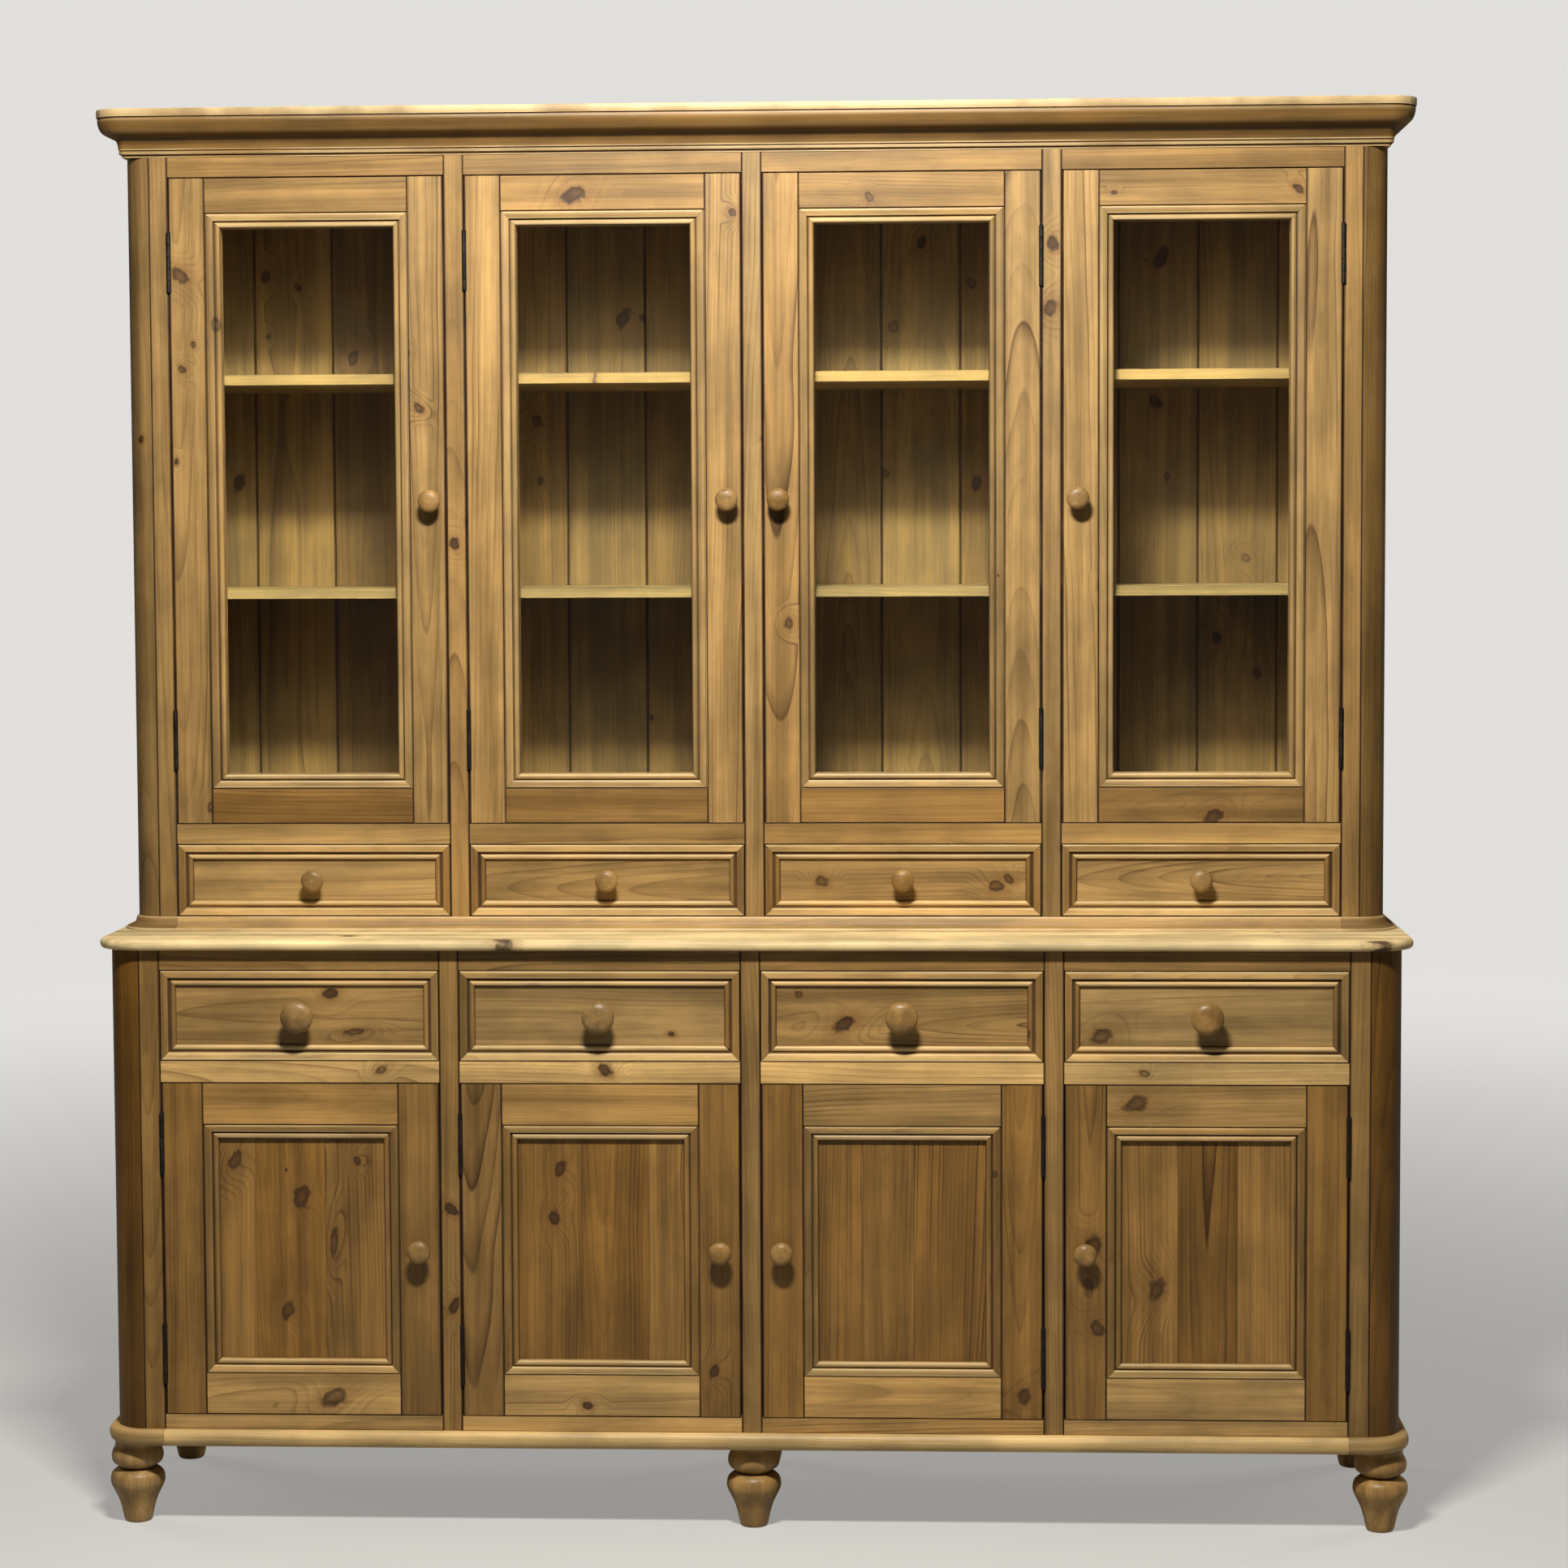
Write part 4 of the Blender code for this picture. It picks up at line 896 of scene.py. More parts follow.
for row in ("front", "back"):
    for word in ("left", "middle", "right"):
        node = "%s_%s_foot" % (row, word)
        low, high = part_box(node)
        radius, height = (high.x - low.x) / 2, high.z - low.z
        profile = [(min(out, 1.0) * radius, max(0.0, up) * height)
                   for out, up in smooth_through(FOOT_SHARES, FOOT_CURVE_STEPS)]
        middle = ((low.x + high.x) / 2, (low.y + high.y) / 2, low.z)
        foot = turn(node, profile, FOOT_SEGMENTS, middle, **FOOT_LOOK)
        assemble("turned_" + node, [foot], turned_pine, "case", [node], smooth=True)
print("feet turned:", 6)

# %% [markdown]
# Three edges run round the front and both sides: the plinth nose, the base moulding of the upper case and
# the cornice. Each is a section carried along a plan with round corners. The cornice is mitred at its
# corners, and the two lower ones have a separate corner block, as the joints in the real one show.

# %% Runs of moulding
CORNER_STEPS = 8
# The crest of the cornice is painted pale: a painted highlight.
CREST_HIGHLIGHT = 0.38
BLOCK_TONE = 0.60
MITRE_REACH = 0.02


def plan_point(plan, station, out):
    """Where a point of the section that stands this far out lies, at a station of the run."""
    half, front, radius = plan
    kind, sign, where = station
    if kind == "side":
        return sign * (half + out), where
    if kind == "front":
        return where, front - out
    reach = radius + out
    if reach <= 0:
        return sign * (half + out), front - out
    return (sign * (half - radius + reach * math.cos(where)), front + radius - reach * math.sin(where))


def corner_stations(sign, start, end):
    """Stations round a corner between two angles, 0 towards the side and 90 degrees towards the front."""
    count = max(1, round(CORNER_STEPS * abs(end - start) / (math.pi / 2)))
    return [("corner", sign, start + (end - start) * step / count) for step in range(count + 1)]


def run_length(name, plan, stations, section, base, scrubbed_above=math.inf, **wood):
    """One length of a run: its section carried through its stations; near its top it may be painted pale as a
    highlight.
    """
    wear = [max(value, CREST_HIGHLIGHT) if up > scrubbed_above else value
            for value, (_, up) in zip(section_wear_and_shade(section), section)]
    loops, places = [], []
    travelled, before = 0.0, None
    for station in stations:
        here = Vector(plan_point(plan, station, 0.0))
        travelled += (here - before).length if before else 0.0
        before = here
        loops.append([(*plan_point(plan, station, out), base + up) for out, up in section])
        places += [(travelled, up, out) for out, up in section]
    return loft_board(name, loops, places, wear, **wood)


def mitred_run(name, plan, back, section, base, **wood):
    """Three lengths mitred at the two front corners."""
    mitre = math.pi / 4
    nick = JOINT_GAP / (plan[2] + MITRE_REACH)
    boards = []
    for sign, word in ((-1, "left"), (1, "right")):
        stations = [("side", sign, back), ("side", sign, plan[1] + plan[2])]
        stations += corner_stations(sign, 0, mitre - nick)[1:]
        boards.append(run_length(name + "_" + word, plan, stations, section, base, **wood))
    stations = corner_stations(-1, mitre + nick, math.pi / 2)
    stations += corner_stations(1, math.pi / 2, mitre + nick)
    boards.append(run_length(name + "_front", plan, stations, section, base, **wood))
    return boards


def blocked_run(name, plan, back, section, base, front_joint, side_joint, tone, **wood):
    """A front length, two darker corner blocks and two side lengths, all butted."""
    boards = [run_length(name + "_front", plan, [("front", 0, -front_joint), ("front", 0, front_joint)],
                         section, base, tone=tone, **wood)]
    tone *= BLOCK_TONE
    for sign, word in ((-1, "left"), (1, "right")):
        stations = [("side", sign, side_joint - JOINT_GAP)] + corner_stations(sign, 0, math.pi / 2)
        stations.append(("front", sign, sign * (front_joint + JOINT_GAP)))
        boards.append(run_length(name + "_corner_" + word, plan, stations, section, base, tone=tone, **wood))
        stations = [("side", sign, back), ("side", sign, side_joint + JOINT_GAP)]
        boards.append(run_length(name + "_side_" + word, plan, stations, section, base, tone=tone, **wood))
    return boards


print("moulding run helpers ready")

# %% [markdown]
# The cornice is the highest of the three edges. Its section starts with a small bead, sweeps out in a long
# hollow and ends in a flat crest that is painted pale, a painted highlight of the light from above. Its
# lengths meet in mitres at the front corners.

# %% Cornice
CORNICE_PROJECTION = 0.038
CORNICE_BEARING = 0.024
CORNICE_EASING = 0.004
CORNICE_CREST = 0.83
CORNICE_LOOK = {"tone": 0.43, "figure": 0.9}
CORNICE_STEPS = (
    (0.02, 0.0),
    ("fillet", (0.02, 0.05)), ("fillet", (0.10, 0.06)), ("outwards", (0.14, 0.10)), ("upwards", (0.10, 0.14)),
    ("fillet", (0.16, 0.155)), ("fillet", (0.17, 0.20)), ("upwards", (0.58, 0.465)),
    ("outwards", (0.965, 0.79)), ("fillet", (0.935, 0.825)), ("fillet", (0.995, 0.835)),
    ("fillet", (1.00, 0.85)), ("fillet", (1.00, 0.985)), ("fillet", (0.985, 1.00)),
)

cornice_low, cornice_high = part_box("cornice")
cornice_height = cornice_high.z - cornice_low.z
section = [(-CORNICE_BEARING, 0)]
section += cut_section(CORNICE_STEPS, CORNICE_PROJECTION, cornice_height)
section.append((-CORNICE_BEARING, cornice_height))
lengths = mitred_run("cornice", (upper.half, upper.front, CORNICE_EASING), upper.back, section,
                     cornice_low.z, scrubbed_above=CORNICE_CREST * cornice_height, **CORNICE_LOOK)
assemble("cornice_moulding", lengths, moulding_pine, "case", ["cornice"], smooth=True)
print("cornice lengths:", len(lengths), "section points:", len(section))

# %% [markdown]
# The plinth is a floor of planks with a round nose planted round it. The upper case stands on a thinner
# board of the same kind, whose edge flares out in a hollow over the counter.

# %% Plinth and base moulding
NOSE_WIDTH = 0.060
PLINTH_OVERHANG = 0.015
BASE_OVERHANG = 0.020
BLOCK_JOINT = 0.8708
SIDE_JOINT = 0.035
BASE_THICKNESS = 0.0195
FLOOR_PLANKS = 4
GUIDE_HEIGHT = 0.022
PLINTH_STEPS = ((0.45, 0.0), ("outwards", (1.0, 0.5)), ("upwards", (0.45, 1.0)))
BASE_STEPS = ((1.0, 0.0), ("fillet", (1.00, 0.10)), ("fillet", (0.95, 0.18)), ("outwards", (0.20, 0.80)),
              ("fillet", (0.17, 0.90)), ("fillet", (0.10, 1.00)))


def floor_planks(name, half, start, end, low, high, count, **wood):
    """Planks side by side from front to back."""
    step = (end - start) / count
    return [plank("%s_%d" % (name, number), (-half, start + step * number + JOINT_GAP, low),
                  (half, start + step * (number + 1) - JOINT_GAP, high), "xy", **wood)
            for number in range(count)]


def edged_floor(case, steps, overhang, thickness=None, **wood):
    """A moulded nose round the front and sides of a floor; returns the floor's planks and its top."""
    node = case.name + "_base_board"
    low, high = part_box(node)
    top = low.z + thickness if thickness else high.z
    height = top - low.z
    section = [(-NOSE_WIDTH, 0)] + cut_section(steps, overhang, height) + [(-NOSE_WIDTH, height)]
    plan = (case.half, case.front, case.radius)
    nose = blocked_run(node + "_nose", plan, case.back, section, low.z, BLOCK_JOINT,
                       case.front + case.radius + SIDE_JOINT, figure=0.9, **wood)
    assemble(node + "_nose", nose, moulding_pine, "case", [node], smooth=True)
    planks = floor_planks(node, case.half - NOSE_WIDTH - JOINT_GAP, case.front + NOSE_WIDTH, case.back,
                          low.z, top, FLOOR_PLANKS)
    return planks, top


def spans_between_bays(start, end):
    """What is left between the bays, from one end of a case to the other."""
    edges = [start]
    for bay in BAYS:
        near, far = bay_span(bay)
        edges += [near - FRONT_GAP, far + FRONT_GAP]
    edges.append(end)
    return list(zip(edges[::2], edges[1::2]))


def drawer_guides(name, case, low):
    """The strips between which the drawers slide, one behind each post and one against each side."""
    start, end = case.front + FRAME_THICKNESS + SEAT_GAP, case.back_inner - 2 * SEAT_GAP
    spans = spans_between_bays(-case.inner_half + SEAT_GAP, case.inner_half - SEAT_GAP)
    return [plank("%s_%d" % (name, number), (near, start, low), (far, end, low + GUIDE_HEIGHT), "yx")
            for number, (near, far) in enumerate(spans)]


# The plinth nose is toned much lighter: a painted highlight of the light from above on its level grain and
# rounded top.
planks, _ = edged_floor(lower, PLINTH_STEPS, PLINTH_OVERHANG, tone=1.55, warmth=-0.6)
assemble("lower_cupboard_floor", planks, inside_pine, "case")
planks, top = edged_floor(upper, BASE_STEPS, BASE_OVERHANG, BASE_THICKNESS, tone=0.98, warmth=0.0)
planks += drawer_guides("upper_guide", upper, top)
assemble("small_drawer_guides", planks, inside_pine, "case")
print("edged floors: 2")

# %% [markdown]
# The counter is bare, scrubbed pine, paler than the rest, and paler still as a painted highlight on its level
# top. A wide front plank carries the round nose and the round corners, and narrower planks lie behind it
# under the upper case.

# %% Counter
COUNTER_OVERHANG = 0.017
COUNTER_FRONT_PLANK = 0.162
COUNTER_BACK_PLANK = 0.155
COUNTER_STEPS = ((0.70, 0.0), ("outwards", (1.0, 0.5)), ("upwards", (0.55, 1.0)))
COUNTER_KNOTS = ((620, 1168, -0.006, 0.013), (1700, 1165, -0.012, -0.004))
# Toned paler: scrubbed wood and a painted highlight.
COUNTER_WOOD = {"tone": 1.14, "warmth": -0.3, "figure": 1.1}

counter_low, counter_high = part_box("counter_top")
counter_height = counter_high.z - counter_low.z
counter_edge = cut_section(COUNTER_STEPS, COUNTER_OVERHANG, counter_height)


def counter_plank(name, near, far, round_corners=False, knots=()):
    """One plank of the counter, from the levels of its edge; the front one has round corners."""
    loops = []
    for out, up in counter_edge:
        if round_corners:
            plan = (lower.half, lower.front, lower.radius)
            stations = [("side", -1, far)] + corner_stations(-1, 0, math.pi / 2)
            stations += corner_stations(1, math.pi / 2, 0) + [("side", 1, far)]
            corners = [plan_point(plan, station, out) for station in stations]
        else:
            reach = lower.half + out
            corners = [(-reach, far), (-reach, near), (reach, near), (reach, far)]
        loops.append([(x, y, counter_low.z + up) for x, y in corners])
    place = in_board(Vector((0, (near + far) / 2, counter_low.z + counter_height / 2)), "xy")
    return loft_board(name, loops, place, [0.0] * len(loops[0]), knots=knots, **COUNTER_WOOD)


split = lower.front + COUNTER_FRONT_PLANK
knots = [(seen_at(x, y, lower.front).x, across, radius) for x, y, across, radius in COUNTER_KNOTS]
planks = [counter_plank("counter_front", 2 * lower.front - split, split - JOINT_GAP, True, knots)]
joints = (split, split + COUNTER_BACK_PLANK, lower.back)
for number, (near, far) in enumerate(zip(joints, joints[1:])):
    planks.append(counter_plank("counter_back_%d" % number, near + JOINT_GAP, far - JOINT_GAP))
assemble("counter_planks", planks, bare_pine, "case", ["counter_top"], smooth=True)
print("counter planks:", len(planks))

# %% [markdown]
# Each side is a corner post with a quarter round, glued to upright boards. The last board has a rebate that
# the back boards lie in. The wood of a side runs up and down, so that it shrinks front to back.

# %% Sides
POST_TAIL = 0.012
ROUND_STEPS = 10
SIDE_BOARDS = 3
SIDE_LOOK = {"tone": 0.66, "warmth": 0.5}
# The corner posts are darker than the stiles beside them, and darker still on the lower case: painted shade
# on the rounded corners, darker towards the bottom.
POST_LOOKS = {"upper": (0.46, -1.2), "lower": (0.34, 1.0)}


def standing_board(name, case, sign, outline, middle, lie, wear, **wood):
    """An upright board of a side, from its outline in plan."""
    loops = [[(sign * x, y, z) for x, y in outline] for z in (case.low, case.high)]
    place = in_board(Vector((sign * case.half, middle, (case.low + case.high) / 2)), lie)
    return loft_board(name, loops, place, wear, **wood)


def corner_post(name, case, sign):
    """The quarter-round post at a front corner."""
    half, front, radius = case.half, case.front, case.radius
    tail = front + radius + POST_TAIL
    outline = [(half, tail), (half, front + radius)]
    for step in range(1, ROUND_STEPS + 1):
        angle = math.pi / 2 * step / ROUND_STEPS
        outline.append((half - radius + radius * math.cos(angle), front + radius - radius * math.sin(angle)))
    seat, behind = case.stile_end + SEAT_GAP, front + FRAME_THICKNESS
    outline += [(seat, front + ARRIS), (seat, behind), (case.inner_half, behind), (case.inner_half, tail)]
    wear = [0.0] * len(outline)
    wear[0], wear[-4] = -0.9, -1.0
    tone, warmth = POST_LOOKS[case.name]
    return standing_board(name, case, sign, outline, front, "zx", wear, tone=tone, warmth=warmth,
                          flat_sawn=0.2)


def side_boards(name, case, sign):
    """The upright boards behind the corner post; the last one has the rebate."""
    start = case.front + case.radius + POST_TAIL
    step = (case.back - start) / SIDE_BOARDS
    inner, outer = case.inner_half, case.half
    boards = []
    for number in range(SIDE_BOARDS):
        near, far = start + step * number + JOINT_GAP, start + step * (number + 1)
        outline = [(inner, near), (outer - ARRIS, near), (outer, near + ARRIS), (outer, far - ARRIS),
                   (outer - ARRIS, far)]
        if number == SIDE_BOARDS - 1:
            outline += [(inner + BACK_REBATE, far), (inner + BACK_REBATE, case.back_inner),
                        (inner, case.back_inner)]
        else:
            outline.append((inner, far))
        wear = [0.0, -1.0, 0.0, 0.0, -1.0] + [0.0] * (len(outline) - 5)
        boards.append(standing_board("%s_%d" % (name, number), case, sign, outline, (near + far) / 2, "zy",
                                     wear, **SIDE_LOOK))
    return boards


for case in (lower, upper):
    for sign, word in ((-1, "left"), (1, "right")):
        node = "%s_%s_side" % (case.name, word)
        boards = [corner_post(node + "_post", case, sign)] + side_boards(node, case, sign)
        assemble(node + "_boards", boards, case_pine, "case", [node], smooth=True)
print("sides: 4")

# %% [markdown]
# A face frame has full-height uprights with short rails tenoned between them. The joints show as fine dark
# lines. Each upright is notched where a hinge knuckle sits, so its section changes at the notch.

# %% Face frames
HINGE_LENGTH = 0.089
KNUCKLE_RADIUS = 0.0032
HINGE_STANDOFF = 0.0015
NOTCH_WIDTH = KNUCKLE_RADIUS - FRONT_GAP / 2 + SEAT_GAP
NOTCH_DEPTH = KNUCKLE_RADIUS - HINGE_STANDOFF + SEAT_GAP
NOTCH_SHOULDER = 0.9
UPRIGHT_WEAR = (0.0, -0.5, -0.9, -0.9, 0.0, 0.0, -0.9, -0.9, -0.5, 0.0)
HINGE_INSETS = {"upper": 0.080, "lower": 0.045}
# Painted light in the tones: the lower case is darker than the upper, a painted shade darker towards the
# bottom. Rails, whose grain lies level, are lighter than the uprights, a painted highlight of the light from
# above. The top rail of the lower case is darker, a painted shadow under the counter.
UPRIGHT_LOOKS = {"upper": (0.74, -0.9), "lower": (0.62, -0.2)}
RAIL_TONES = {"upper": {"middle": 0.98, "top": 0.66}, "lower": {"middle": 1.55, "top": 0.58, "bottom": 1.12}}


def hinge_side(bay):
    """-1 for a door hinged on its left, 1 for one hinged on its right."""
    return -1 if bay <= 2 else 1


def hinge_starts(row):
    """The lower ends of a door's two hinges."""
    low, high, _, _ = opening_heights(row)
    inset = HINGE_INSETS[row]
    return low + inset, high - inset - HINGE_LENGTH


def upright(name, case, near, far, notch_sides, span=None, **wood):
    """A stile or post; notch_sides says on which of its edges hinges are let in."""
    foot, head = span or (case.low, case.high)
    levels = [(foot, 0), (head, 0)]
    for start in hinge_starts(case.name):
        levels += [(start - SEAT_GAP * 2, 0), (start - SEAT_GAP, 1),
                   (start + HINGE_LENGTH + SEAT_GAP, 1), (start + HINGE_LENGTH + SEAT_GAP * 2, 0)]
    front, back = case.front, case.front + FRAME_THICKNESS
    loops = []
    for z, notched in sorted(levels):
        outline = [(near, back)]
        for edge, side, sign in ((near, -1, 1), (far, 1, -1)):
            corner = [(edge, front + NOTCH_DEPTH), (edge, front + ARRIS), (edge + sign * ARRIS, front),
                      (edge + sign * NOTCH_WIDTH, front)]
            if notched and side in notch_sides:
                corner[1] = (edge + sign * NOTCH_WIDTH * NOTCH_SHOULDER, front + NOTCH_DEPTH)
                corner[2] = (edge + sign * NOTCH_WIDTH, front + NOTCH_DEPTH)
            outline += corner if side == -1 else corner[::-1]
        outline.append((far, back))
        loops.append([(x, y, z) for x, y in outline])
    place = in_board(Vector(((near + far) / 2, front, (foot + head) / 2)), "zx")
    knots = knots_seen(KNOTS.get(name, ()), front, place)
    return loft_board(name, loops, place, UPRIGHT_WEAR, knots=knots, **wood)


def face_frame(case, rails):
    """Five uprights and a rail between them for each (name, low, high)."""
    tone, warmth = UPRIGHT_LOOKS[case.name]
    notches = ((1,), (1,), (), (-1,), (-1,))
    boards = []
    for number, (near, far) in enumerate(spans_between_bays(-case.stile_end, case.stile_end)):
        boards.append(upright("%s_upright_%d" % (case.name, number), case, near, far, notches[number],
                              tone=tone, warmth=warmth))
    for bay in BAYS:
        near, far = bay_span(bay)
        for word, low, high in rails:
            boards.append(plank("%s_%s_rail_%d" % (case.name, word, bay),
                                (near - FRONT_GAP + JOINT_GAP, case.front, low),
                                (far + FRONT_GAP - JOINT_GAP, case.front + FRAME_THICKNESS, high), "xz",
                                tone=RAIL_TONES[case.name][word]))
    return boards


for case in (lower, upper):
    door_low, door_high, drawer_low, drawer_high = opening_heights(case.name)
    if case is upper:
        rails = [("middle", drawer_high + FRONT_GAP, door_low - FRONT_GAP),
                 ("top", door_high + FRONT_GAP, case.high)]
    else:
        rails = [("middle", door_high + FRONT_GAP, drawer_low - FRONT_GAP),
                 ("top", drawer_high + FRONT_GAP, case.high), ("bottom", case.low, door_low - FRONT_GAP)]
    boards = face_frame(case, rails)
    assemble(case.name + "_face_joinery", boards, case_pine, "case",
             [case.name + "_face_frame"])
    print(case.name, "face frame boards:", len(boards))

# %% [markdown]
# The backs are upright boards with a V at each joint. They show through the glass, so their tones differ
# from board to board. Shelves, decks and the top of the upper case are planks that run from side to side.

# %% Backs, shelves and decks
BACK_BOARD_WIDTH = 0.120
BACK_EASE = 0.0026
BACK_TONES = (0.80, 1.12)
SHELF_LOOK = (1.15, -0.9)
BACK_KNOTS = {
    "upper": (
        (327, 341, 0.008), (367, 354, 0.006), (435, 442, 0.009), (295, 594, 0.010), (354, 592, 0.008),
        (396, 586, 0.012), (322, 829, 0.011), (374, 833, 0.009), (768, 393, 0.011), (792, 392, 0.006),
        (661, 519, 0.008), (666, 592, 0.006), (657, 847, 0.007), (1197, 348, 0.008), (1101, 403, 0.008),
        (1090, 582, 0.008), (1169, 589, 0.010), (1204, 595, 0.009), (1111, 778, 0.006), (1430, 317, 0.011),
        (1423, 495, 0.010), (1467, 386, 0.010), (1449, 502, 0.007), (1534, 687, 0.007), (1549, 830, 0.007),
        (1444, 834, 0.008),
    ),
    "lower": (),
}


def back_boards(case):
    """Upright boards side by side."""
    low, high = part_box(case.name + "_back_boards")
    count = round((high.x - low.x) / BACK_BOARD_WIDTH)
    step = (high.x - low.x) / count
    boards = []
    for number in range(count):
        near, far = low.x + step * number, low.x + step * (number + 1)
        seen = [knot for knot in BACK_KNOTS[case.name] if near <= seen_at(*knot[:2], low.y).x < far]
        tone = random.Random("%s%d" % (case.name, number)).uniform(*BACK_TONES)
        boards.append(plank("%s_back_%d" % (case.name, number), (near, low.y, low.z), (far, high.y, high.z),
                            "zx", ease=BACK_EASE, edge_wear=-1.0, seen=seen, tone=tone))
    return boards


def shelf(node, count, tone, warmth):
    """A shelf of a few planks between the sides."""
    low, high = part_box(node)
    half = (upper if node.startswith("upper") else lower).inner_half
    return floor_planks(node, half, low.y, high.y, low.z, high.z, count, tone=tone, warmth=warmth)


for case in (lower, upper):
    assemble(case.name + "_back_panelling", back_boards(case), inside_pine, "case",
             [case.name + "_back_boards"])
for node, count in (("upper_shelf_high", 2), ("upper_shelf_low", 2), ("upper_cupboard_floor", 3),
                    ("upper_top_board", 3), ("lower_shelf", 3)):
    tone, warmth = SHELF_LOOK if node.startswith("upper_shelf") else (1.0, 0.0)
    assemble(node + "_planks", shelf(node, count, tone, warmth), inside_pine, "case", [node])
low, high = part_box("lower_drawer_deck")
deck_top = high.z - GUIDE_HEIGHT
boards = floor_planks("lower_deck", lower.inner_half, low.y, high.y, low.z, deck_top, 3)
boards += drawer_guides("lower_guide", lower, deck_top)
assemble("lower_drawer_deck_planks", boards, inside_pine, "case", ["lower_drawer_deck"])
print("backs: 2, shelves and decks: 6")

# %% [markdown]
# The doors and drawer fronts share one planted moulding: a broad round, a deep quirk and a small bead. Four
# lengths are mitred round the opening. The same function lays them on doors, on drawers and behind glass.

# %% Planted mouldings
MOULDING_WIDTH = 0.0225
DOOR_MOULDING_DEPTH = 0.0090
DRAWER_MOULDING_DEPTH = 0.0065
# Painted light by how a length lies: the lower length of a frame is lighter, a painted highlight of light
# from above on level grain. The upright lengths are darker, with less pale on their crests and less dark in
# their grooves, a painted shade.
LOW_LENGTH_HIGHLIGHT, HIGH_TONE = 1.36, 1.0
STANDING_RUB_AND_HIGHLIGHT = 0.35
STANDING_WAX_AND_SHADE = 0.70
# The inner edge of each moulding, where it meets the panel or the glass, is darkened: dark wax and a painted
# shadow.
INNER_WAX_AND_SHADE = -0.8
DOOR_STEPS = (
    (0.0, 0.34), ("fillet", (0.055, 0.28)), ("fillet", (0.085, 0.03)), ("fillet", (0.18, 0.00)),
    ("outwards", (0.51, 0.22)), ("fillet", (0.53, 0.56)), ("fillet", (0.60, 0.58)),
    ("upwards", (0.79, 0.22)), ("outwards", (0.93, 0.48)), ("fillet", (1.00, 1.00)),
)
DRAWER_STEPS = (
    (0.0, 0.15), ("fillet", (0.03, 0.02)), ("fillet", (0.18, 0.00)), ("outwards", (0.46, 0.22)),
    ("fillet", (0.49, 0.66)), ("fillet", (0.64, 0.68)), ("upwards", (0.79, 0.24)),
    ("outwards", (0.93, 0.50)), ("fillet", (1.00, 1.00)),
)


def mitred_frame(name, near, low, far, high, front, section, tone=1.0, standing=0.6, **wood):
    """Four lengths round an upright rectangle; the section is (inwards, backwards)."""
    wear = section_wear_and_shade(section)
    # Dark wax and a painted shadow along the moulding's inner edge.
    wear[max(range(len(section)), key=lambda index: section[index][0])] = INNER_WAX_AND_SHADE
    sides = (((near, low), (1, 0), (0, 1), far - near), ((far, low), (0, 1), (-1, 0), high - low),
             ((far, high), (-1, 0), (0, -1), far - near), ((near, high), (0, -1), (1, 0), high - low))
    boards = []
    for number, ((x, z), (run_x, run_z), (in_x, in_z), length) in enumerate(sides):
        loops, places = [], []
        for end in (0, 1):
            loops.append([])
            for inwards, down in section:
                run = inwards + JOINT_GAP if end == 0 else length - inwards - JOINT_GAP
                loops[-1].append((x + run_x * run + in_x * inwards, front + down,
                                  z + run_z * run + in_z * inwards))
                places.append((run, inwards, down))
        # Painted light: the lower length is lit paler and the upright lengths are shaded darker.
        lit = tone * (LOW_LENGTH_HIGHLIGHT, standing, HIGH_TONE, standing)[number]
        rubbed = wear if run_x else [value * (STANDING_RUB_AND_HIGHLIGHT if value > 0 else STANDING_WAX_AND_SHADE) for value in wear]
        boards.append(loft_board("%s_%d" % (name, number), loops, places, rubbed, tone=lit, **wood))
    return boards


door_profile = cut_section(DOOR_STEPS, MOULDING_WIDTH, DOOR_MOULDING_DEPTH)
drawer_profile = cut_section(DRAWER_STEPS, MOULDING_WIDTH, DRAWER_MOULDING_DEPTH)
print("door moulding points:", len(door_profile))

# %% [markdown]
# A door is two stiles and two rails with the moulding inside. Above, the moulding holds a pane from the front
# and thin beads hold it from behind. Below, a panel of three or four glued boards fills the opening.

# %% Doors
DOOR_SIZES = {"upper": (0.0540, 0.0515), "lower": (0.0610, 0.0605)}
# The lower doors are darker than the upper ones, a painted shade darker towards the bottom. Their rails are
# lighter than their stiles, a painted highlight of the light from above on level grain.
DOOR_TONES = {"upper": (0.79, 0.54, 0.76), "lower": (0.57, 1.20, 0.88)}
DOOR_WARMTH = {"upper": -0.8, "lower": 0.2}
STILE_FIGURE = 1.25
BEAD_TONE = 0.85
PANEL_TONES = (0.50, 0.70)
PANEL_LOOK = {"edge_wear": -0.45, "warmth": 0.9, "figure": 1.3}
# The upright lengths are darker, more so on the lower case: painted shade.
MOULDING_LOOKS = {"upper": {"tone": 0.84, "standing": 0.86, "warmth": -0.9},
                  "lower": {"tone": 0.84, "standing": 0.62, "warmth": -0.2}}
GLASS_SEAT = 0.0115
GLASS_REBATE = 0.0070
BEAD_FRONT = 0.0152
PANEL_BACK = 0.018
PANEL_EASE = 0.0005
PANEL_SHARES = {1: (0.26, 0.36, 0.38), 2: (0.40, 0.34, 0.26), 3: (0.30, 0.26, 0.44), 4: (0.36, 0.30, 0.34)}


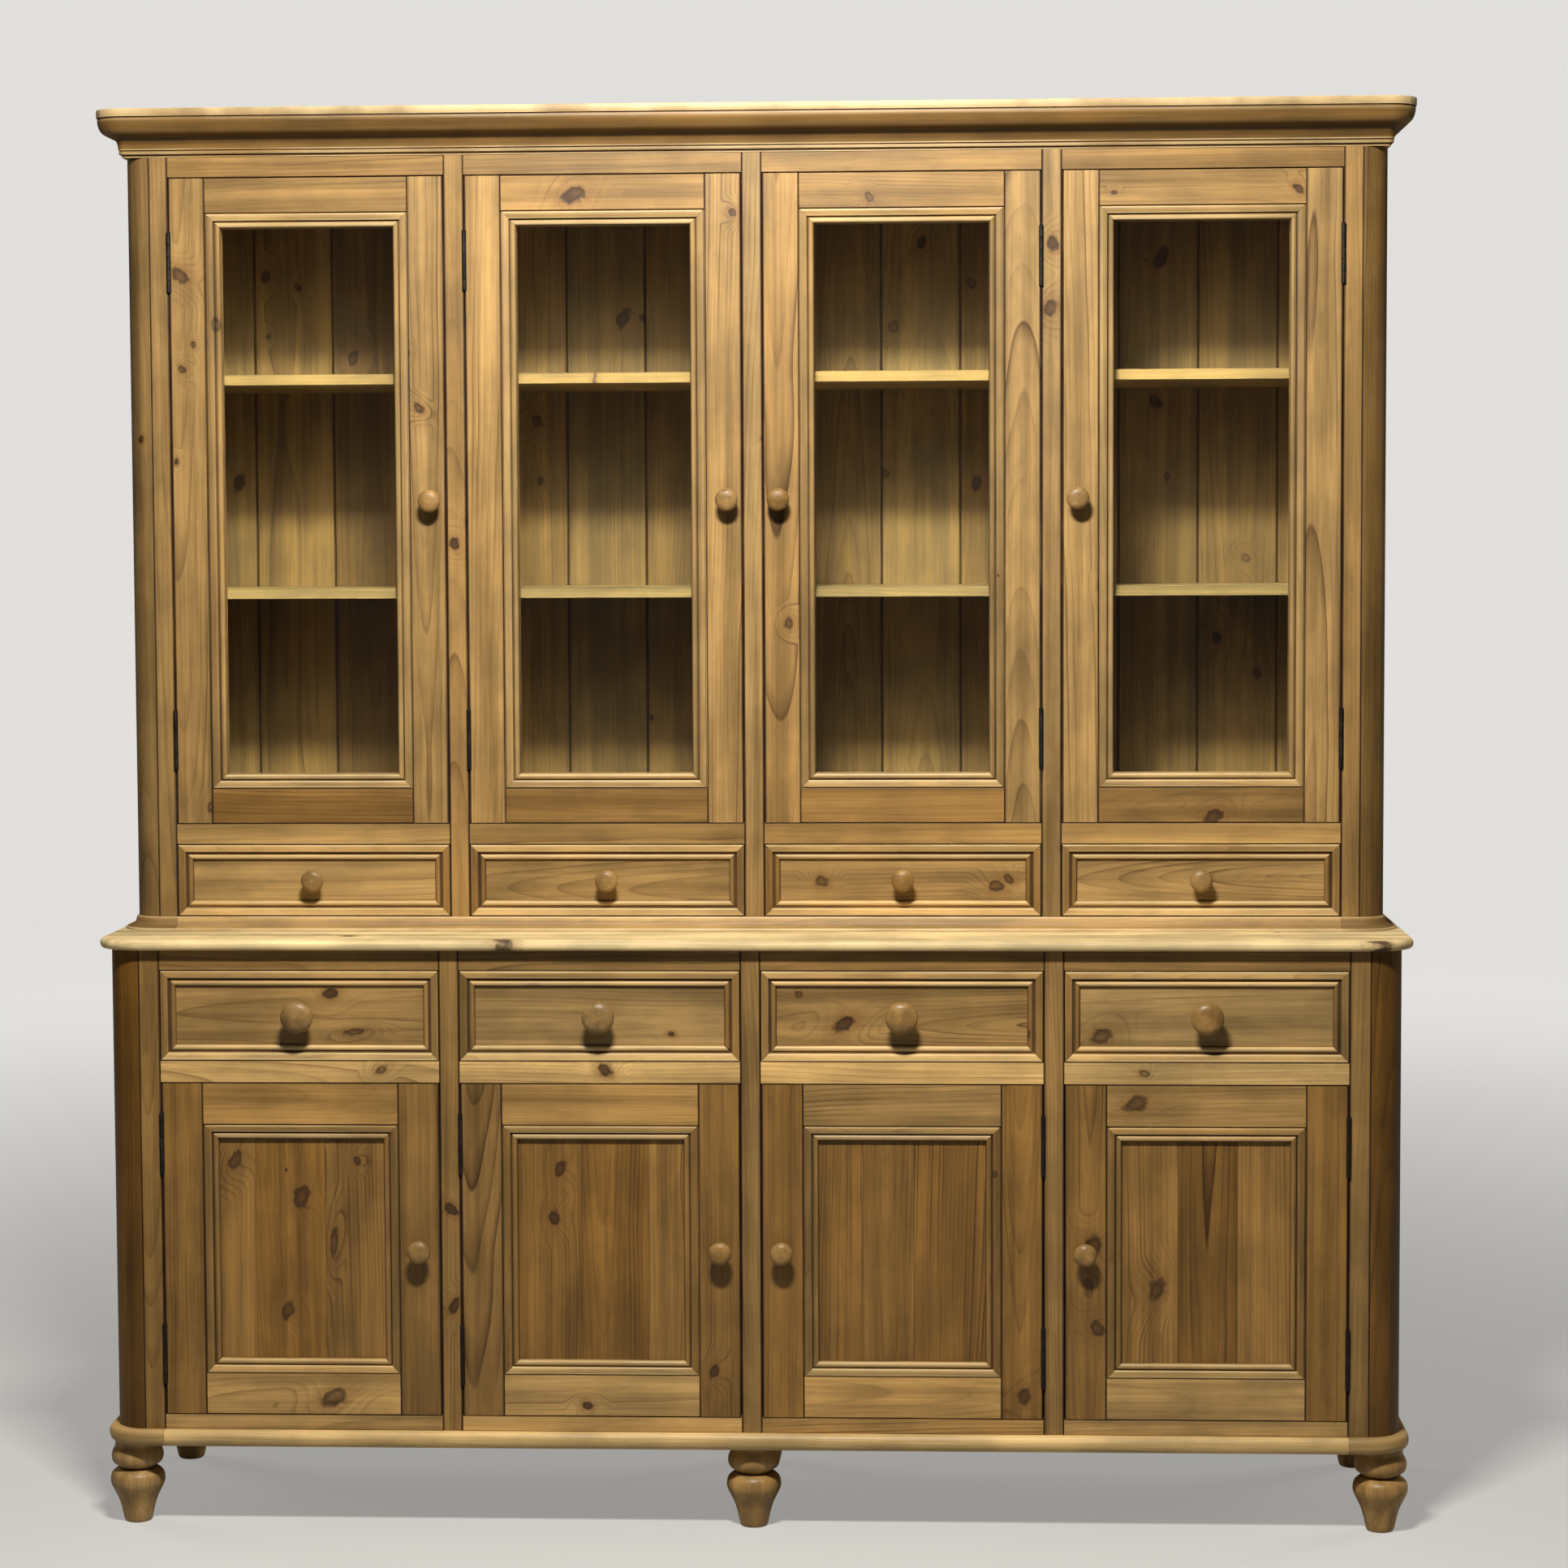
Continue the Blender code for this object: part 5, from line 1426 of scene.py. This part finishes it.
def door_wood(case, bay, low, high):
    """The stiles and rails of a door."""
    stile, rail_width = DOOR_SIZES[case.name]
    stile_tone, low_tone, top_tone = DOOR_TONES[case.name]
    near, far = bay_span(bay)
    hinged = hinge_side(bay)
    door = "%s_door_%d_" % (case.name, bay)
    boards = []
    for word, side, left, right in (("stile_0", -1, near, near + stile - JOINT_GAP),
                                    ("stile_1", 1, far - stile + JOINT_GAP, far)):
        boards.append(upright(door + word, case, left, right, (side,) if side == hinged else (), (low, high),
                              tone=stile_tone, warmth=DOOR_WARMTH[case.name], figure=STILE_FIGURE))
    for word, bottom, top, tone in (("rail_0", low, low + rail_width - JOINT_GAP, low_tone),
                                    ("rail_1", high - rail_width + JOINT_GAP, high, top_tone)):
        boards.append(plank(door + word, (near + stile, case.front, bottom),
                            (far - stile, case.front + FRAME_THICKNESS, top), "xz", tone=tone))
    return boards


def door_panel(bay, low, high):
    """The glued panel of a lower door."""
    stile, rail_width = DOOR_SIZES["lower"]
    near, far = bay_span(bay)
    start, width = near + stile + JOINT_GAP, far - near - 2 * (stile + JOINT_GAP)
    boards = []
    for number, share in enumerate(PANEL_SHARES[bay]):
        name = "lower_door_%d_panel_%d" % (bay, number)
        end = start + share * width
        tone = random.Random(name + "tone").uniform(*PANEL_TONES)
        boards.append(plank(name, (start, lower.front + DOOR_MOULDING_DEPTH + SEAT_GAP, low + rail_width),
                            (end, lower.front + PANEL_BACK, high - rail_width), "zx", ease=PANEL_EASE,
                            tone=tone, **PANEL_LOOK))
        start = end
    return boards


def door_moulding(case, bay, low, high):
    """The planted moulding, and the beads behind a pane."""
    stile, rail_width = DOOR_SIZES[case.name]
    near, far = bay_span(bay)
    inside = (near + stile, low + rail_width, far - stile, high - rail_width, case.front)
    name = "%s_door_%d_moulding" % (case.name, bay)
    if case is lower:
        section = door_profile + [(0.0, DOOR_MOULDING_DEPTH)]
        return mitred_frame(name, *inside, section, **MOULDING_LOOKS["lower"]), []
    seat, end = MOULDING_WIDTH - GLASS_REBATE, FRAME_THICKNESS - ARRIS / 2
    section = door_profile + [(MOULDING_WIDTH, GLASS_SEAT), (seat, GLASS_SEAT), (seat, FRAME_THICKNESS),
                              (0.0, FRAME_THICKNESS)]
    bead = [(seat + JOINT_GAP, BEAD_FRONT), (MOULDING_WIDTH - ARRIS, BEAD_FRONT),
            (MOULDING_WIDTH, BEAD_FRONT + ARRIS), (MOULDING_WIDTH, FRAME_THICKNESS - 2 * ARRIS),
            (MOULDING_WIDTH - 2 * ARRIS, end), (seat + JOINT_GAP, end)]
    return (mitred_frame(name, *inside, section, **MOULDING_LOOKS["upper"]),
            mitred_frame(name + "_bead", *inside, bead, tone=BEAD_TONE))


for case in (upper, lower):
    door_low, door_high, _, _ = opening_heights(case.name)
    for bay in BAYS:
        body = "%s_door_%d" % (case.name, bay)
        boards = door_wood(case, bay, door_low, door_high)
        if case is lower:
            boards += door_panel(bay, door_low, door_high)
        assemble(body + "_joinery", boards, front_pine, body, [body + "_frame"])
        moulding, beads = door_moulding(case, bay, door_low, door_high)
        assemble(body + "_moulding", moulding, moulding_pine, body, smooth=True)
        if beads:
            assemble(body + "_glazing_beads", beads, moulding_pine, body)
print("doors:", 2 * len(BAYS))

# %% [markdown]
# A drawer front is a board with the same moulding planted round its edge, and a plain tray is joined to its
# back. The trays only show when a drawer is pulled out, but then the grain and the joints have to be there.

# %% Drawers
TRAY_WALL = 0.012
TRAY_BOTTOM = 0.008
TRAY_SETIN = 0.001
# The lower drawer fronts are darker than the upper ones: a painted shade, darker towards the bottom.
FRONT_TONES = {"upper": 0.83, "lower": 0.70}
FRONT_LOOK = {"warmth": -1.2, "flat_sawn": 0.8}
DRAWER_MOULDING_LOOK = {"tone": 1.05, "standing": 0.52}


def drawer_front(name, case, near, far, low, high):
    """The board behind the planted moulding."""
    return plank(name + "_front", (near, case.front + DRAWER_MOULDING_DEPTH + JOINT_GAP / 2, low),
                 (far, case.front + FRAME_THICKNESS, high), "xz", ease=ARRIS / 2,
                 tone=FRONT_TONES[case.name], **FRONT_LOOK)


def drawer_tray(name, case, near, far):
    """Two sides, a back and a bottom."""
    low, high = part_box(name)
    start, end = case.front + FRAME_THICKNESS + JOINT_GAP, high.y
    floor, rim = low.z + TRAY_BOTTOM, high.z - TRAY_BOTTOM - FRONT_GAP * 2 - SEAT_GAP
    near, far = near + TRAY_SETIN, far - TRAY_SETIN
    inner_near, inner_far = near + TRAY_WALL, far - TRAY_WALL
    return [plank(name + "_left", (near, start, low.z), (inner_near, end, rim), "yz"),
            plank(name + "_right", (inner_far, start, low.z), (far, end, rim), "yz"),
            plank(name + "_back", (inner_near, end - TRAY_WALL, floor), (inner_far, end, rim), "xz"),
            plank(name + "_bottom", (inner_near, start, low.z), (inner_far, end - JOINT_GAP, floor), "xy")]


for case in (upper, lower):
    _, _, low, high = opening_heights(case.name)
    for bay in BAYS:
        name = "%s_drawer_%d" % (case.name, bay)
        near, far = bay_span(bay)
        section = drawer_profile + [(0.0, DRAWER_MOULDING_DEPTH)]
        moulding = mitred_frame(name + "_moulding", near, low, far, high, case.front, section,
                                **DRAWER_MOULDING_LOOK)
        assemble(name + "_moulding", moulding, moulding_pine, name, smooth=True)
        board = drawer_front(name, case, near, far, low, high)
        assemble(name + "_front", [board], front_pine, name, [name])
        tray = drawer_tray(name, case, near, far)
        assemble(name + "_tray", tray, inside_pine, name)
print("drawers:", 2 * len(BAYS))

# %% [markdown]
# The knobs are turned with a small foot, a waist and a fat round head. They are spun from a soft curve
# through the measured outline, lying on their side, and their grain runs from front to back.

# %% Knobs
KNOB_SEGMENTS = 40
KNOB_CURVE_STEPS = 4
KNOB_LOOK = {"tone": 0.66, "warmth": 0.1, "figure": 0.6}
KNOB_SHARES = (
    (0.46, 0.00), (0.45, 0.03), (0.40, 0.10), (0.345, 0.26), (0.50, 0.42), (0.84, 0.53), (0.985, 0.66),
    (0.945, 0.82), (0.70, 0.94), (0.36, 0.988), (0.04, 1.00),
)


def make_knob(node, base_y, body):
    """A knob where the measured one is."""
    low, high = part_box(node)
    radius, length = (high.x - low.x) / 2, base_y - low.y
    profile = [(min(out, 1.0) * radius, up * length)
               for out, up in smooth_through(KNOB_SHARES, KNOB_CURVE_STEPS)]
    centre = ((low.x + high.x) / 2, base_y, (low.z + high.z) / 2)
    knob = turn(node, profile, KNOB_SEGMENTS, centre, axis="y", **KNOB_LOOK)
    assemble("turned_" + node, [knob], turned_pine, body, [node], smooth=True)


for case in (upper, lower):
    for bay in BAYS:
        for word, depth in (("door", 0.0), ("drawer", DRAWER_MOULDING_DEPTH)):
            body = "%s_%s_%d" % (case.name, word, bay)
            make_knob(body + "_knob", case.front + depth - SEAT_GAP, body)
print("knobs:", 4 * len(BAYS))

# %% [markdown]
# An iron butt hinge has five knuckles on one pin. Three belong to the leaf screwed to the case and two to the
# leaf on the door. They are separate pieces here, so that the hinge opens with its door.

# %% Hinges
KNUCKLES = 5
KNUCKLE_SEGMENTS = 20
KNUCKLE_GAP = 0.0002
LEAF_THICKNESS = 0.0005
LEAF_DEPTH = 0.0195
SCREW_RADIUS = 0.0029
SCREW_PROUD = 0.00012
SCREW_SHARES = (0.14, 0.50, 0.86)
SCREW_DEPTH = 0.55
SCREW_SEGMENTS = 16
PIN_SHARE = 0.5
KNUCKLE_EASE = 0.15


def knuckle(x, y, low, high):
    """One knuckle, with a small chamfer at each end."""
    radius, ease = KNUCKLE_RADIUS, KNUCKLE_RADIUS * KNUCKLE_EASE
    profile = [(radius * PIN_SHARE, low), (radius - ease, low), (radius, low + ease),
               (radius, high - ease), (radius - ease, high), (radius * PIN_SHARE, high)]
    return turn("knuckle", profile, KNUCKLE_SEGMENTS, (x, y, 0))


def screw(face, y, z, side):
    """A flat screw head that stands a hair proud of a leaf."""
    shape = bmesh.new()
    bmesh.ops.create_circle(shape, cap_ends=True, radius=SCREW_RADIUS, segments=SCREW_SEGMENTS)
    for vertex in shape.verts:
        vertex.co = Vector((face + side * SCREW_PROUD, y + vertex.co.x, z + vertex.co.y))
    for item in bmesh.ops.extrude_face_region(shape, geom=shape.faces[:])["geom"]:
        if isinstance(item, bmesh.types.BMVert):
            item.co.x = face - side * SCREW_PROUD
    return season(shape, "screw", in_board(Vector((face, y, z)), "zy"))


def leaf(x, side, case, low, high, knuckles):
    """A leaf against an edge at x, with its screws; side is the way its thickness goes."""
    face = x + side * LEAF_THICKNESS
    near, far = sorted((x, face))
    start, end = case.front + NOTCH_DEPTH + SEAT_GAP, case.front + LEAF_DEPTH
    boards = [plank("leaf", (near, start, low), (far, end, high), "zy", ease=LEAF_THICKNESS / 4)]
    for bottom, top in knuckles:
        boards.append(plank("tab", (near, case.front - HINGE_STANDOFF, bottom), (far, start, top), "zy",
                            ease=LEAF_THICKNESS / 4))
    for share in SCREW_SHARES:
        boards.append(screw(face, case.front + LEAF_DEPTH * SCREW_DEPTH, low + share * (high - low), side))
    return boards


def make_hinges(case, bay):
    """Both hinges of a door: a fixed half on the case and a moving half on the door."""
    side = hinge_side(bay)
    edge = bay_span(bay)[0 if side < 0 else 1]
    axis_x, axis_y = edge + side * FRONT_GAP / 2, case.front - HINGE_STANDOFF
    step = HINGE_LENGTH / KNUCKLES
    halves = ([], [])
    for start in hinge_starts(case.name):
        spans = ([], [])
        for number in range(KNUCKLES):
            low, high = start + step * number + KNUCKLE_GAP, start + step * (number + 1) - KNUCKLE_GAP
            halves[number % 2].append(knuckle(axis_x, axis_y, low, high))
            spans[number % 2].append((low, high))
        end = start + HINGE_LENGTH
        halves[0].extend(leaf(edge + side * FRONT_GAP, -side, case, start, end, spans[0]))
        halves[1].extend(leaf(edge, side, case, start, end, spans[1]))
    body = "%s_door_%d" % (case.name, bay)
    assemble(body + "_hinge_on_case", halves[0], iron, "case", smooth=True)
    assemble(body + "_hinge_on_door", halves[1], iron, body, smooth=True)


for case in (upper, lower):
    for bay in BAYS:
        make_hinges(case, bay)
print("hinges:", 4 * len(BAYS))
